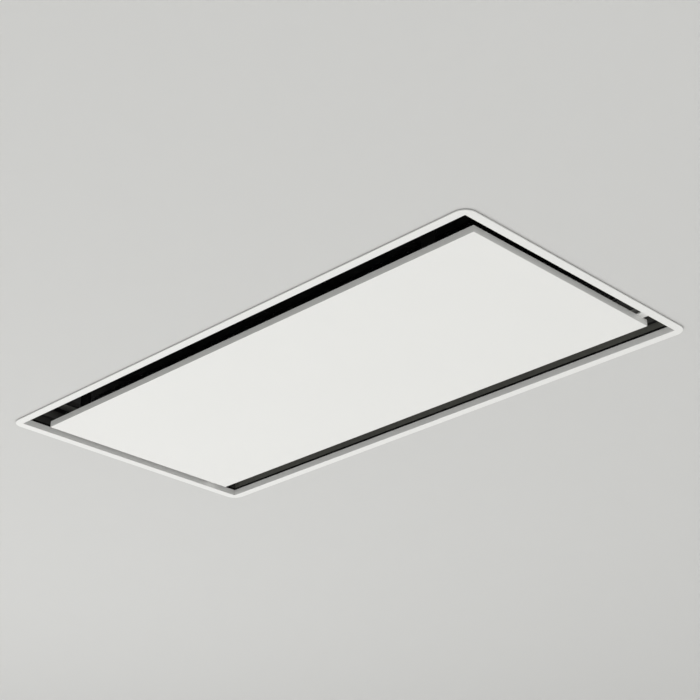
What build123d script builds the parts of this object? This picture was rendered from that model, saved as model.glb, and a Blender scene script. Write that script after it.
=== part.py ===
from build123d import *
import os
from math import acos, cos, degrees, hypot, pi, radians, sin, tan

# Ceiling range hood with suction round the edges of a hinged panel.
# X runs along the hood, Y across it, +Z is up. The origin is the middle of the underside, so
# z = 0 is the face of frame and panel that is seen from the room. All sizes are in millimetres.

# ---------------------------------------------------------------- driving dimensions

# Trim frame
frame_length = 1000.0
frame_width = 500.0
flange_width = 14.35
flange_corner_radius = 20.0
frame_sheet = 1.5
wall_seat_depth = 0.2  # coined into the flange for the feet of the walls
lip_height = 10.7
fold_radius = 0.6

# Suction panel
end_slot_width = 20.0
side_slot_width = 40.6
panel_height = 10.5
panel_sheet = 1.0
panel_cover_sheet = 0.6
panel_cover_fold = 5.0
panel_cover_gap = 0.2
panel_rib_sheet = 0.8
panel_rib_width = 30.0
panel_rib_foot = 12.0
panel_rib_end_gap = 60.0
panel_rib_spacing = 200.0

# Hinge of the panel
arm_width = 16.0
arm_sheet = 1.5
arm_from_panel_edge = 9.05  # between the long edge of the panel and the arm
arm_overlap = 40.0  # length that lies on the panel
arm_side_gap = 1.65  # between the arm and the lip
arm_screw_spacing = 18.0
arm_screw_inset = 10.0
hinge_height = 17.0
hinge_pin_radius = 2.5
hinge_running_gap = 0.05
hinge_pin_head_radius = 4.0
hinge_pin_head = 1.7
hinge_pin_play = 0.5
bracket_sheet = 1.5
bracket_width = 36.0
bracket_lift = 0.8
rivet_radius = 1.6
rivet_head_radius = 2.5
rivet_head = 0.6
rivet_from_edge = 4.5

# Magnetic catches at the free edge of the panel
catch_spacing = 760.0
catch_width = 26.0
catch_sheet = 1.5
catch_from_panel_edge = 19.0
catch_leg_from_ledge = 0.5
strike_length = 24.0
strike_width = 16.0
strike_sheet = 1.5
magnet_radius = 8.0
magnet_height = 2.3
magnet_gap = 0.2

# Housing
body_height = 290.0
housing_sheet = 1.0
cover_seat = 14.0
wall_return = 12.0
wall_return_gap = 5.0  # between the tray's deck and the foot of a return
swage_depth = 1.2
swage_corner_radius = 12.0
wall_swage_height = 130.0
wall_swage_base = 100.0
wall_swage_gap = 50.0
cover_swage_inner_x = 154.0
cover_swage_end_gap = 32.0  # to the foot of a hanging bracket
cover_swage_from_side = 90.15
cover_swage_width = 106.0
cover_screws_per_side = 5
cover_screw_end_gap = 68.0
end_screw_spacing = 220.0

# Channel strips and filter tray
channel_sheet = 1.0
channel_top = 25.0
tray_seam = 2.0
tray_sheet = 1.0
tray_clearance = 0.5
tray_deck_top = 63.0
tray_slot_bottom = 42.0
tray_slot_height = 8.0
tray_slot_bridge = 10.0
tray_slot_corner = 1.5
tray_slots_along = 8
tray_slots_across = 4
tray_screw_height = 56.0
tray_screw_spacing = 250.0
tray_end_screw_spacing = 125.0
rail_sheet = 1.0
rail_foot = 10.0

# Grease filters
filter_count = 3
filter_side_gap = 49.65  # between a filter and the tray's skirt, along Y
filter_end_gap = 33.65  # between the outer filters and the skirt, along X
filter_gap = 8.0
filter_height = 9.0
filter_border = 12.0
filter_front_bar = 36.0
filter_corner_radius = 6.0
filter_deck_gap = 0.5
filter_rest_gap = 0.3
filter_play = 1.5
filter_overlap = 8.0  # how far the deck covers the edge of a filter
rear_bite = 6.0  # how far the rear ledge reaches under a filter
mesh_skin = 1.0
mesh_inset = 6.0
mesh_clearance = 0.3

# Latches of the filters
latch_travel = 5.0
latch_length = 63.0
latch_depth = 13.0
latch_clearance = 0.3
latch_pocket_skin = 2.5
latch_pocket_depth = 25.0
latch_pocket_height = 6.0
latch_groove = 4.0
latch_foot = 1.8  # from the filter's underside to the bolts
latch_bolt_width = 10.0
latch_bolt_spacing = 38.0
latch_bolt_height = 3.0
latch_bite = 3.0
grip_length = 40.0
grip_sheet = 5.0
grip_tip = 3.0
grip_lean = 1.5
grip_drop = 7.5

# Blower
wheel_headroom = 86.0  # housing height above the deck that the wheel leaves free
impeller_length = 136.0
disc_sheet = 2.0
disc_bite = 2.0  # how far the disc reaches in between the blades
blade_count = 36
blade_depth = 12.5
blade_inset = 1.0
blade_bow = 1.2
blade_lead = 5.0
blade_thickness = 0.9
impeller_ring_width = 8.0
impeller_ring = 3.0
hub_radius = 12.0
hub_half_length = 7.0
fan_offset = 50.0  # of the shaft from the middle of the outlet
tongue_gap = 10.0
volute_growth = 35.0
volute_arcs = 6
scroll_sheet = 2.5
scroll_side_gap = 7.0
scroll_floor_gap = 14.0
neck_width = 130.0
inlet_inset = 12.0  # from the wheel's rim to the inlet's edge
inlet_rim = 3.0
inlet_rim_height = 5.5
neck_flange = 184.0
neck_flange_sheet = 3.0
lug_radius = 5.5
lug_length = 8.0
lug_sink = 1.2
lug_angles = (35.0, -15.0, -65.0, -115.0, -160.0)
motor_inset = 30.0  # from the wheel's rim to the motor's
motor_gap = 6.0  # between the motor and the wheel's hub
motor_rim = 2.0
motor_rim_length = 5.0
motor_chamfer = 3.0
shaft_radius = 4.0
shaft_running_gap = 0.05
shaft_inset = 4.0
shaft_beyond_nut = 1.5
nut_width = 13.0
nut_height = 6.0
spider_gap = 0.5
spider_sheet = 3.0
spider_radius = 30.0
spider_arm_width = 14.0
spider_hole_radius = 6.0
mount_radius = 6.5
mount_angles = (90.0, 210.0, 330.0)
motor_screw_circle_radius = 22.0
capacitor_radius = 15.0
capacitor_length = 70.0
capacitor_x = 175.0
terminal_stub = 6.0
clip_sheet = 1.2
clip_width = 16.0
clip_foot = 14.0

# Air outlet for a duct of 150 mm
duct_spigot_radius = 74.5
spigot_sheet = 2.0
spigot_height = 42.0
spigot_base = 190.0
spigot_base_sheet = 2.5
spigot_base_corner_radius = 8.0
flap_ledge = 2.0
flap_ledge_sheet = 2.0
flap_ledge_above_base = 6.0
flap_sheet = 1.5
flap_rest_gap = 0.2
flap_pin_lift = 0.3
flap_gap = 1.0
flap_edge = 3.2
flap_pin_radius = 1.5
knuckle_radius = 2.6
knuckle_length = 20.0
knuckle_places = ((-1, 46.0), (1, 21.0))
boss_length = 6.0
boss_width = 8.0
boss_above_axis = 4.0
outlet_screw_spacing = 168.0

# Controls
box_length = 200.0
box_width = 140.0
box_height = 48.0
box_wall = 2.0
box_end_gap = 33.0
box_corner_radius = 3.0
lid_sheet = 2.5
lid_rim = 4.0
board_length = 120.0
board_width = 90.0
board_sheet = 1.6
board_lift = 6.0
board_end_gap = 8.0
post_radius = 3.0
post_inset = 6.0
board_parts = (  # middle along the board, middle across it, length, width, height
    (2.0, -24.0, 28.0, 24.0, 18.0),
    (2.0, 14.0, 16.0, 12.0, 12.0),
    (36.0, -20.0, 20.0, 28.0, 15.0),
    (36.0, 20.0, 12.0, 12.0, 3.0),
)
terminal_length = 12.0
terminal_width = 60.0
terminal_height = 14.0
terminal_ways = 5
gland_from_box_end = 24.0
gland_bore_radius = 4.0
gland_thread_radius = 8.0
gland_hex = 22.0
gland_collar = 5.0
gland_dome = 15.0
gland_dome_radius = 9.5
gland_crown = 2.5
gland_inside = 9.0
gland_nut = 5.0
lead_radius = 3.5
lead_gap = 0.3
lead_y = 22.0
lead_below_cover = 28.0
lead_inside_box = 7.0
lead_run = 62.0
lead_last_run = 58.5

# Hanging brackets for M8 rods
hanger_from_end = 26.15  # from the housing's end to the rod
hanger_from_side = 48.15
hanger_sheet = 2.5
hanger_height = 25.0
hanger_width = 36.0
hanger_foot = 40.0
hanger_tab = 40.0
hanger_hole_radius = 4.5
hanger_screw_spacing = 20.0

# Screws and fits
screw_radius = 2.0
screw_head_radius = 3.8
screw_head = 2.0
screw_length = 6.0
screw_tip = 2.0
screw_gap = 0.1
fixed_gap = 0.02  # round a pin, shaft or thread that doesn't turn in its hole
head_taper = 12.0  # degrees

# ---------------------------------------------------------------- places that follow

half_open_x = frame_length / 2 - flange_width
half_open_y = frame_width / 2 - flange_width
wall_in_x = half_open_x + frame_sheet
wall_in_y = half_open_y + frame_sheet
wall_out_x = wall_in_x + housing_sheet
wall_out_y = wall_in_y + housing_sheet
wall_foot = frame_sheet - wall_seat_depth
cover_bottom = body_height - housing_sheet
screw_hole = screw_radius + screw_gap

panel_x = half_open_x - end_slot_width
panel_y = half_open_y - side_slot_width
arm_y = panel_y - arm_from_panel_edge - arm_width / 2
arm_top = panel_height + arm_sheet
arm_end = half_open_x - arm_side_gap
arm_screw_xs = [panel_x - arm_screw_inset - i * arm_screw_spacing for i in range(2)]
channel_in_x = wall_in_x - channel_sheet
channel_in_y = wall_in_y - channel_sheet
bracket_in_x = channel_in_x - bracket_sheet
rivet_ys = [arm_y + side * (bracket_width / 2 - rivet_from_edge) for side in (-1, 1)]
pin_seat_x = arm_end - arm_sheet - hinge_pin_play

tray_out_x = wall_in_x - tray_clearance
tray_out_y = wall_in_y - tray_clearance
tray_in_x = tray_out_x - tray_sheet
tray_in_y = tray_out_y - tray_sheet
tray_bottom = channel_top + tray_seam
deck_bottom = tray_deck_top - tray_sheet
tray_screw_xs = [i * tray_screw_spacing for i in (-1, 0, 1)]
tray_screw_ys = [-tray_end_screw_spacing / 2, tray_end_screw_spacing / 2]

filter_length = 2 * (tray_in_y - filter_side_gap)  # along Y
filter_spacing = (2 * (tray_in_x - filter_end_gap) + filter_gap) / filter_count
filter_width = filter_spacing - filter_gap  # along X
filter_top = deck_bottom - filter_deck_gap
filter_bottom = filter_top - filter_height
filter_y = filter_length / 2
filter_centres = [(i - (filter_count - 1) / 2) * filter_spacing for i in range(filter_count)]
filter_names = ("left", "middle", "right")
latch_half = latch_length / 2
latch_mouth = latch_half - latch_groove
slide_bottom = filter_bottom + latch_foot - latch_clearance
pocket_top = filter_bottom + latch_pocket_height
bolt_bottom = filter_bottom + latch_foot
bolt_top = bolt_bottom + latch_bolt_height
bolt_end_y = -(filter_y + filter_play + latch_bite)
latch_front_y = -(filter_y - latch_pocket_skin - latch_clearance)
rail_half_length = filter_centres[-1] + filter_width / 2 + filter_overlap
front_ledge_y = filter_y + filter_play
front_web_y = front_ledge_y + latch_bite + latch_travel
front_ledge_top = bolt_bottom - filter_rest_gap
rear_ledge_top = filter_bottom - filter_rest_gap

catch_y = -(panel_y - catch_from_panel_edge)
catch_leg_y = front_ledge_y + catch_leg_from_ledge
strike_top = panel_height + strike_sheet
magnet_bottom = strike_top + magnet_gap
catch_pad_bottom = magnet_bottom + magnet_height

cover_screw_step = 2 * (wall_out_x - cover_screw_end_gap) / (cover_screws_per_side - 1)
long_side_screws = [
    (-wall_out_x + cover_screw_end_gap + i * cover_screw_step, side * (wall_out_y - cover_seat / 2))
    for side in (-1, 1)
    for i in range(cover_screws_per_side)
]
short_side_screws = [
    (side * (wall_out_x - cover_seat / 2), end * end_screw_spacing / 2)
    for side in (-1, 1)
    for end in (-1, 1)
]
outlet_screws = [
    (sx * outlet_screw_spacing / 2, sy * outlet_screw_spacing / 2) for sx in (-1, 1) for sy in (-1, 1)
]
hanger_spacing_x = 2 * (wall_out_x - hanger_from_end)
hanger_spacing_y = 2 * (wall_out_y - hanger_from_side)
hanger_foot_x = hanger_spacing_x / 2 - hanger_tab / 2 - hanger_foot / 2
hanger_screws = [
    (sx * hanger_foot_x, sy * hanger_spacing_y / 2 + end * hanger_screw_spacing / 2)
    for sx in (-1, 1)
    for sy in (-1, 1)
    for end in (-1, 1)
]
cover_swage_outer_x = hanger_foot_x - hanger_foot / 2 - cover_swage_end_gap
cover_swage_x = (cover_swage_inner_x + cover_swage_outer_x) / 2
cover_swage_y = wall_out_y - cover_swage_from_side
cover_swage_length = cover_swage_outer_x - cover_swage_inner_x
swage_middle = wall_swage_base + wall_swage_height / 2
long_swage_pitch = 2 * wall_out_x / 3

impeller_radius = (cover_bottom - tray_deck_top - wheel_headroom) / 2
blade_outer_radius = impeller_radius - blade_inset
blade_inner_radius = blade_outer_radius - blade_depth
inlet_radius = impeller_radius - inlet_inset
motor_radius = impeller_radius - motor_inset
mount_circle_radius = impeller_radius
fan_half = impeller_length / 2
scroll_in = fan_half + scroll_side_gap
scroll_out = scroll_in + scroll_sheet
tongue_radius = impeller_radius + tongue_gap
tongue_angle = degrees(acos((neck_width / 2 - fan_offset) / tongue_radius))
lowest_radius = tongue_radius + (tongue_angle + 90) / (tongue_angle + 180) * volute_growth
fan_z = tray_deck_top + scroll_floor_gap + scroll_sheet + lowest_radius
rim_end = scroll_out + inlet_rim_height
spider_in = rim_end + spider_gap
fan_plane = Plane(origin=(0, fan_offset, fan_z), x_dir=(0, 1, 0), z_dir=(1, 0, 0))

outlet_radius = duct_spigot_radius - spigot_sheet
base_top = body_height + spigot_base_sheet
ledge_top = base_top + flap_ledge_above_base + flap_ledge_sheet
flap_bottom = ledge_top + flap_rest_gap
flap_axis_z = flap_bottom + flap_sheet + flap_pin_lift
flap_outer_radius = outlet_radius - flap_gap
boss_top = flap_axis_z + boss_above_axis
boss_reach = hypot(boss_width / 2, boss_above_axis)
damper_pin_half = outlet_radius - spigot_sheet / 4

box_low_x = -(wall_in_x - box_end_gap)
box_high_x = box_low_x + box_length
box_bottom = cover_bottom - box_height
board_x = box_high_x - box_wall - board_end_gap - board_length / 2
board_top = cover_bottom - box_wall - board_lift
gland_x = box_low_x + gland_from_box_end
lead_z = cover_bottom - lead_below_cover

os.makedirs("parts", exist_ok=True)


def finish(piece, label):
    """Label a finished piece and write it to its own file."""
    piece.part.label = label
    export_step(piece.part, f"parts/{label}.step")


def block(x, y, z, mode=Mode.ADD):
    """Add or cut a straight block, given its two limits along each axis."""
    limits = (x, y, z)
    with Locations(tuple((low + high) / 2 for low, high in limits)):
        Box(*[abs(high - low) for low, high in limits], mode=mode)


def rod(start, axis, length, radius, mode=Mode.ADD):
    """Add or cut a cylinder that starts at a point and runs along an axis."""
    turn = {"x": (0, 90, 0), "y": (-90, 0, 0), "z": (0, 0, 0)}[axis]
    with Locations(Location(start, turn)):
        Cylinder(radius, length, align=(Align.CENTER, Align.CENTER, Align.MIN), mode=mode)


def screws(seats, label, shank, thread=screw_radius, head_radius=screw_head_radius, head=screw_head):
    """A group of headed fasteners. Each seat is where a head lies and the way that it faces."""
    with BuildPart() as group:
        for seat, facing in seats:
            with BuildSketch(Plane(origin=seat, z_dir=facing)):
                Circle(head_radius)
            extrude(amount=head, taper=head_taper)
            with BuildSketch(Plane(origin=seat, z_dir=facing)):
                Circle(thread)
            extrude(amount=-shank)
    finish(group, label)


# ---------------------------------------------------------------- trim frame

# A white sheet flange against the ceiling, with a lip folded up round the opening.
with BuildPart() as trim_frame:
    with BuildSketch():
        RectangleRounded(frame_length, frame_width, flange_corner_radius)
        Rectangle(2 * half_open_x, 2 * half_open_y, mode=Mode.SUBTRACT)
    extrude(amount=frame_sheet)
    with BuildSketch(Plane.XY.offset(frame_sheet)):
        Rectangle(2 * wall_in_x, 2 * wall_in_y)
        Rectangle(2 * half_open_x, 2 * half_open_y, mode=Mode.SUBTRACT)
    extrude(amount=lip_height - frame_sheet)
    with BuildSketch(Plane.XY.offset(wall_foot)):
        Rectangle(2 * wall_out_x, 2 * wall_out_y)
        Rectangle(2 * wall_in_x, 2 * wall_in_y, mode=Mode.SUBTRACT)
    extrude(amount=wall_seat_depth, mode=Mode.SUBTRACT)
    underside = trim_frame.faces().sort_by(Axis.Z)[0]
    fillet(underside.inner_wires()[0].edges(), fold_radius)
finish(trim_frame, "trim_frame")

# ---------------------------------------------------------------- housing


def press_swages(outer, outward, places, length, width):
    """Press fields out of a sheet: raised on its outer face and hollow on its inner one."""
    inner = outer.offset(-outward * housing_sheet)
    for plane, rim, mode in ((outer, 0.0, Mode.ADD), (inner, housing_sheet, Mode.SUBTRACT)):
        with BuildSketch(plane, mode=Mode.PRIVATE) as fields:
            with Locations(*places):
                RectangleRounded(length - 2 * rim, width - 2 * rim, swage_corner_radius - rim)
        extrude(fields.sketch, amount=outward * swage_depth, mode=mode)


def long_wall(side, label):
    """A long wall: upright sheet, top fold that seats the cover, and three pressed fields."""
    inner_y = side * wall_in_y
    outer_y = side * wall_out_y
    with BuildPart() as sheet:
        block((-wall_out_x, wall_out_x), (inner_y, outer_y), (wall_foot, cover_bottom))
        fold_y = outer_y - side * cover_seat
        block((-wall_in_x, wall_in_x), (fold_y, outer_y), (cover_bottom - housing_sheet, cover_bottom))
        places = [(i * long_swage_pitch, swage_middle) for i in (-1, 0, 1)]
        length = long_swage_pitch - wall_swage_gap
        press_swages(Plane.XZ.offset(-outer_y), -side, places, length, wall_swage_height)
        for x, y in long_side_screws:
            if y * side > 0:
                rod((x, y, cover_bottom - housing_sheet), "z", housing_sheet, screw_hole, Mode.SUBTRACT)
        for x in tray_screw_xs:
            rod((x, min(inner_y, outer_y), tray_screw_height), "y", housing_sheet, screw_hole,
                Mode.SUBTRACT)
    finish(sheet, label)


def end_wall(side, label):
    """A short wall between the long ones, with a top fold and two upright folds for welding."""
    inner_x = side * wall_in_x
    outer_x = side * wall_out_x
    seat_half = wall_out_y - cover_seat - housing_sheet
    with BuildPart() as sheet:
        block((inner_x, outer_x), (-wall_in_y, wall_in_y), (wall_foot, cover_bottom))
        fold_x = outer_x - side * cover_seat
        block((fold_x, outer_x), (-seat_half, seat_half), (cover_bottom - housing_sheet, cover_bottom))
        for end in (-1, 1):
            fold = (end * (wall_in_y - housing_sheet), end * wall_in_y)
            block((inner_x - side * wall_return, inner_x), fold,
                  (tray_deck_top + wall_return_gap, cover_bottom - housing_sheet))
        length = 2 * wall_in_y - 2 * wall_swage_gap
        press_swages(Plane.YZ.offset(outer_x), side, [(0, swage_middle)], length, wall_swage_height)
        for x, y in short_side_screws:
            if x * side > 0:
                rod((x, y, cover_bottom - housing_sheet), "z", housing_sheet, screw_hole, Mode.SUBTRACT)
        for y in tray_screw_ys:
            rod((min(inner_x, outer_x), y, tray_screw_height), "x", housing_sheet, screw_hole,
                Mode.SUBTRACT)
    finish(sheet, label)


long_wall(-1, "wall_front")
long_wall(1, "wall_rear")
end_wall(-1, "wall_left")
end_wall(1, "wall_right")

# The cover carries the blower, the outlet, the control box and the hanging brackets.
with BuildPart() as top_cover:
    block((-wall_out_x, wall_out_x), (-wall_out_y, wall_out_y), (cover_bottom, body_height))
    fields = [(x * cover_swage_x, y * cover_swage_y) for x in (-1, 1) for y in (-1, 1)]
    press_swages(Plane.XY.offset(body_height), 1, fields, cover_swage_length, cover_swage_width)
    rod((0, 0, cover_bottom), "z", housing_sheet, outlet_radius, Mode.SUBTRACT)
    rod((gland_x, 0, cover_bottom), "z", housing_sheet, gland_thread_radius + fixed_gap, Mode.SUBTRACT)
    for x, y in long_side_screws + short_side_screws + outlet_screws + hanger_screws:
        rod((x, y, cover_bottom), "z", housing_sheet, screw_hole, Mode.SUBTRACT)
finish(top_cover, "top_cover")

# ---------------------------------------------------------------- suction channel and filter tray

# Black strips on the lip line the long sides of the suction channel.
with BuildPart() as long_strips:
    for side in (-1, 1):
        block((-wall_in_x, wall_in_x), (side * channel_in_y, side * wall_in_y), (lip_height, channel_top))
finish(long_strips, "channel_strips_long")

# Those at the short sides are drilled for the hinge pin and its bracket's rivets.
with BuildPart() as short_strips:
    for side in (-1, 1):
        low_x = min(side * channel_in_x, side * wall_in_x)
        block((side * channel_in_x, side * wall_in_x), (-channel_in_y, channel_in_y),
              (lip_height, channel_top))
        rod((low_x, arm_y, hinge_height), "x", channel_sheet, hinge_pin_radius + fixed_gap, Mode.SUBTRACT)
        for y in rivet_ys:
            rod((low_x, y, hinge_height), "x", channel_sheet, rivet_radius + fixed_gap, Mode.SUBTRACT)
finish(short_strips, "channel_strips_short")

# A black tray hangs in the housing: a skirt with long slots, and a deck with a window per filter.
with BuildPart() as filter_tray:
    block((-tray_out_x, tray_out_x), (-tray_out_y, tray_out_y), (tray_bottom, tray_deck_top))
    block((-tray_in_x, tray_in_x), (-tray_in_y, tray_in_y), (tray_bottom, deck_bottom), Mode.SUBTRACT)
    for x in filter_centres:
        window_x = filter_width / 2 - filter_overlap
        window_y = filter_y - filter_overlap
        block((x - window_x, x + window_x), (-window_y, window_y), (deck_bottom, tray_deck_top),
              Mode.SUBTRACT)
    slot_middle = tray_slot_bottom + tray_slot_height / 2
    slot_pitch_x = 2 * tray_in_x / tray_slots_along
    slot_pitch_y = 2 * tray_in_y / tray_slots_across
    with BuildSketch(Plane.XZ):
        with Locations((0, slot_middle)):
            with GridLocations(slot_pitch_x, 0, tray_slots_along, 1):
                RectangleRounded(slot_pitch_x - tray_slot_bridge, tray_slot_height, tray_slot_corner)
    extrude(amount=tray_out_y, both=True, mode=Mode.SUBTRACT)
    with BuildSketch(Plane.YZ):
        with Locations((0, slot_middle)):
            with GridLocations(slot_pitch_y, 0, tray_slots_across, 1):
                RectangleRounded(slot_pitch_y - tray_slot_bridge, tray_slot_height, tray_slot_corner)
    extrude(amount=tray_out_x, both=True, mode=Mode.SUBTRACT)
    for x in tray_screw_xs:
        rod((x, -tray_out_y, tray_screw_height), "y", 2 * tray_out_y, screw_hole, Mode.SUBTRACT)
    for y in tray_screw_ys:
        rod((-tray_out_x, y, tray_screw_height), "x", 2 * tray_out_x, screw_hole, Mode.SUBTRACT)
finish(filter_tray, "filter_tray")


def filter_rail(side, web_y, ledge_y, ledge_top, label):
    """A channel under the deck that carries one edge of every filter: foot, web and ledge."""
    along = (-rail_half_length, rail_half_length)
    back_y = side * (web_y + rail_sheet)
    with BuildPart() as rail:
        block(along, (side * web_y, back_y), (ledge_top - rail_sheet, deck_bottom))
        block(along, (side * ledge_y, back_y), (ledge_top - rail_sheet, ledge_top))
        block(along, (side * web_y, side * (web_y + rail_foot)), (deck_bottom - rail_sheet, deck_bottom))
    finish(rail, label)


filter_rail(-1, front_web_y, front_ledge_y, front_ledge_top, "filter_rail_front")
filter_rail(1, filter_y + filter_play, filter_y - rear_bite, rear_ledge_top, "filter_rail_rear")

# ---------------------------------------------------------------- grease filters


def filter_frame(x, label):
    """An aluminium frame grooved for the mesh, with the latch's pocket in its front bar."""
    open_x = filter_width / 2 - filter_border
    open_front = -filter_y + filter_front_bar
    open_back = filter_y - filter_border
    pocket_front = -filter_y + latch_pocket_skin
    pocket_back = pocket_front + latch_pocket_depth
    with BuildPart() as frame:
        half_x = filter_width / 2
        block((x - half_x, x + half_x), (-filter_y, filter_y), (filter_bottom, filter_top))
        fillet(frame.edges().filter_by(Axis.Z), filter_corner_radius)
        block((x - open_x, x + open_x), (open_front, open_back), (filter_bottom, filter_top), Mode.SUBTRACT)
        groove_x = open_x + mesh_inset
        block((x - groove_x, x + groove_x), (open_front - mesh_inset, open_back + mesh_inset),
              (filter_bottom + mesh_skin, filter_top - mesh_skin), Mode.SUBTRACT)
        block((x - latch_mouth, x + latch_mouth), (pocket_front, pocket_back),
              (filter_bottom, slide_bottom), Mode.SUBTRACT)
        block((x - latch_half - latch_clearance, x + latch_half + latch_clearance),
              (pocket_front, pocket_back), (slide_bottom, pocket_top), Mode.SUBTRACT)
        for bolt_x in (x - latch_bolt_spacing / 2, x + latch_bolt_spacing / 2):
            half = latch_bolt_width / 2 + latch_clearance
            block((bolt_x - half, bolt_x + half), (-filter_y, pocket_front),
                  (slide_bottom, bolt_top + latch_clearance), Mode.SUBTRACT)
    finish(frame, label)


def filter_mesh(x, label):
    """The pack of expanded metal layers, held by its edges in the frame's groove."""
    half_x = filter_width / 2 - filter_border + mesh_inset - mesh_clearance
    front = -filter_y + filter_front_bar - mesh_inset + mesh_clearance
    back = filter_y - filter_border + mesh_inset - mesh_clearance
    bottom = filter_bottom + mesh_skin + mesh_clearance
    top = filter_top - mesh_skin - mesh_clearance
    with BuildPart() as mesh:
        block((x - half_x, x + half_x), (front, back), (bottom, top))
    finish(mesh, label)


def filter_latch(x, label):
    """A plastic slide in the front bar: two bolts over the rail's ledge, and a finger grip below."""
    back_y = latch_front_y + latch_depth
    grip_y = latch_front_y + (latch_depth - grip_sheet) / 2
    with BuildPart() as latch:
        block((x - latch_half, x + latch_half), (latch_front_y, back_y),
              (bolt_bottom, pocket_top - latch_clearance))
        neck = latch_mouth - latch_clearance
        block((x - neck, x + neck), (latch_front_y, back_y), (filter_bottom, bolt_bottom))
        for bolt_x in (x - latch_bolt_spacing / 2, x + latch_bolt_spacing / 2):
            half = latch_bolt_width / 2
            block((bolt_x - half, bolt_x + half), (bolt_end_y, latch_front_y), (bolt_bottom, bolt_top))
        with BuildSketch(Plane.YZ.offset(x - grip_length / 2)):
            with BuildLine():
                Polyline((grip_y, filter_bottom), (grip_y - grip_lean, filter_bottom - grip_drop),
                         (grip_y - grip_lean + grip_tip, filter_bottom - grip_drop),
                         (grip_y + grip_sheet, filter_bottom), close=True)
            make_face()
        extrude(amount=grip_length)
        tip = latch.faces().filter_by(Axis.Z).sort_by(Axis.Z)[0]
        fillet(tip.edges(), grip_tip * 0.3)
    finish(latch, label)


for name, x in zip(filter_names, filter_centres):
    filter_frame(x, f"filter_frame_{name}")
    filter_mesh(x, f"filter_mesh_{name}")
    filter_latch(x, f"filter_latch_{name}")

# ---------------------------------------------------------------- suction panel

# The white pan that is seen from the room, flush with the frame.
with BuildPart() as panel_skin:
    block((-panel_x, panel_x), (-panel_y, panel_y), (0, panel_height))
    block((-panel_x + panel_sheet, panel_x - panel_sheet), (-panel_y + panel_sheet, panel_y - panel_sheet),
          (panel_sheet, panel_height), Mode.SUBTRACT)
    fillet(panel_skin.faces().sort_by(Axis.Z)[0].edges(), fold_radius)
finish(panel_skin, "panel_skin")

# The sheet that closes the pan from above, with its edges folded down inside.
cover_x = panel_x - panel_sheet - panel_cover_gap
cover_y = panel_y - panel_sheet - panel_cover_gap
cover_under = panel_height - panel_cover_sheet
with BuildPart() as panel_cover:
    block((-cover_x, cover_x), (-cover_y, cover_y), (panel_height - panel_cover_fold, panel_height))
    block((-cover_x + panel_cover_sheet, cover_x - panel_cover_sheet),
          (-cover_y + panel_cover_sheet, cover_y - panel_cover_sheet),
          (panel_height - panel_cover_fold, cover_under), Mode.SUBTRACT)
    for side in (-1, 1):
        for x in arm_screw_xs:
            rod((side * x, arm_y, cover_under), "z", panel_cover_sheet, screw_hole, Mode.SUBTRACT)
finish(panel_cover, "panel_cover")

# Two hat-shaped ribs between pan and cover keep the panel flat.
with BuildPart() as panel_ribs:
    rib_x = panel_x - panel_rib_end_gap
    for y in (-panel_rib_spacing / 2, panel_rib_spacing / 2):
        crown = panel_rib_width / 2
        block((-rib_x, rib_x), (y - crown, y + crown), (cover_under - panel_rib_sheet, cover_under))
        for side in (-1, 1):
            web = (y + side * (crown - panel_rib_sheet), y + side * crown)
            block((-rib_x, rib_x), web, (panel_sheet, cover_under))
            foot = (y + side * (crown - panel_rib_sheet), y + side * (crown + panel_rib_foot))
            block((-rib_x, rib_x), foot, (panel_sheet, panel_sheet + panel_rib_sheet))
finish(panel_ribs, "panel_ribs")


def hinge_arm(side, label):
    """A white strip screwed on the panel, its end turned up round the hinge pin."""
    with BuildPart() as arm:
        across = (arm_y - arm_width / 2, arm_y + arm_width / 2)
        block((side * (panel_x - arm_overlap), side * arm_end), across, (panel_height, arm_top))
        with BuildSketch(Plane.YZ.offset(side * arm_end)):
            with Locations((arm_y, hinge_height)):
                Circle(arm_width / 2)
            with Locations((arm_y, (panel_height + hinge_height) / 2)):
                Rectangle(arm_width, hinge_height - panel_height)
            with Locations((arm_y, hinge_height)):
                Circle(hinge_pin_radius + hinge_running_gap, mode=Mode.SUBTRACT)
        extrude(amount=-side * arm_sheet)
        for x in arm_screw_xs:
            rod((side * x, arm_y, panel_height), "z", arm_sheet, screw_hole, Mode.SUBTRACT)
    finish(arm, label)


hinge_arm(-1, "hinge_arm_left")
hinge_arm(1, "hinge_arm_right")
arm_seats = [((side * x, arm_y, arm_top), (0, 0, 1)) for side in (-1, 1) for x in arm_screw_xs]
screws(arm_seats, "hinge_arm_screws", screw_length)

# Brackets riveted to the end strips hold the pins.
with BuildPart() as hinge_brackets:
    for side in (-1, 1):
        low_x = min(side * bracket_in_x, side * channel_in_x)
        across = (arm_y - bracket_width / 2, arm_y + bracket_width / 2)
        block((side * bracket_in_x, side * channel_in_x), across,
              (lip_height + bracket_lift, channel_top - bracket_lift))
        rod((low_x, arm_y, hinge_height), "x", bracket_sheet, hinge_pin_radius + fixed_gap, Mode.SUBTRACT)
        for y in rivet_ys:
            rod((low_x, y, hinge_height), "x", bracket_sheet, rivet_radius + fixed_gap, Mode.SUBTRACT)
finish(hinge_brackets, "hinge_brackets")
rivet_seats = [((side * bracket_in_x, y, hinge_height), (-side, 0, 0)) for side in (-1, 1) for y in rivet_ys]
screws(rivet_seats, "bracket_rivets", bracket_sheet + channel_sheet, rivet_radius, rivet_head_radius,
       rivet_head)
pin_seats = [((side * pin_seat_x, arm_y, hinge_height), (-side, 0, 0)) for side in (-1, 1)]
screws(pin_seats, "hinge_pins", wall_in_x - pin_seat_x, hinge_pin_radius, hinge_pin_head_radius,
       hinge_pin_head)

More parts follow.
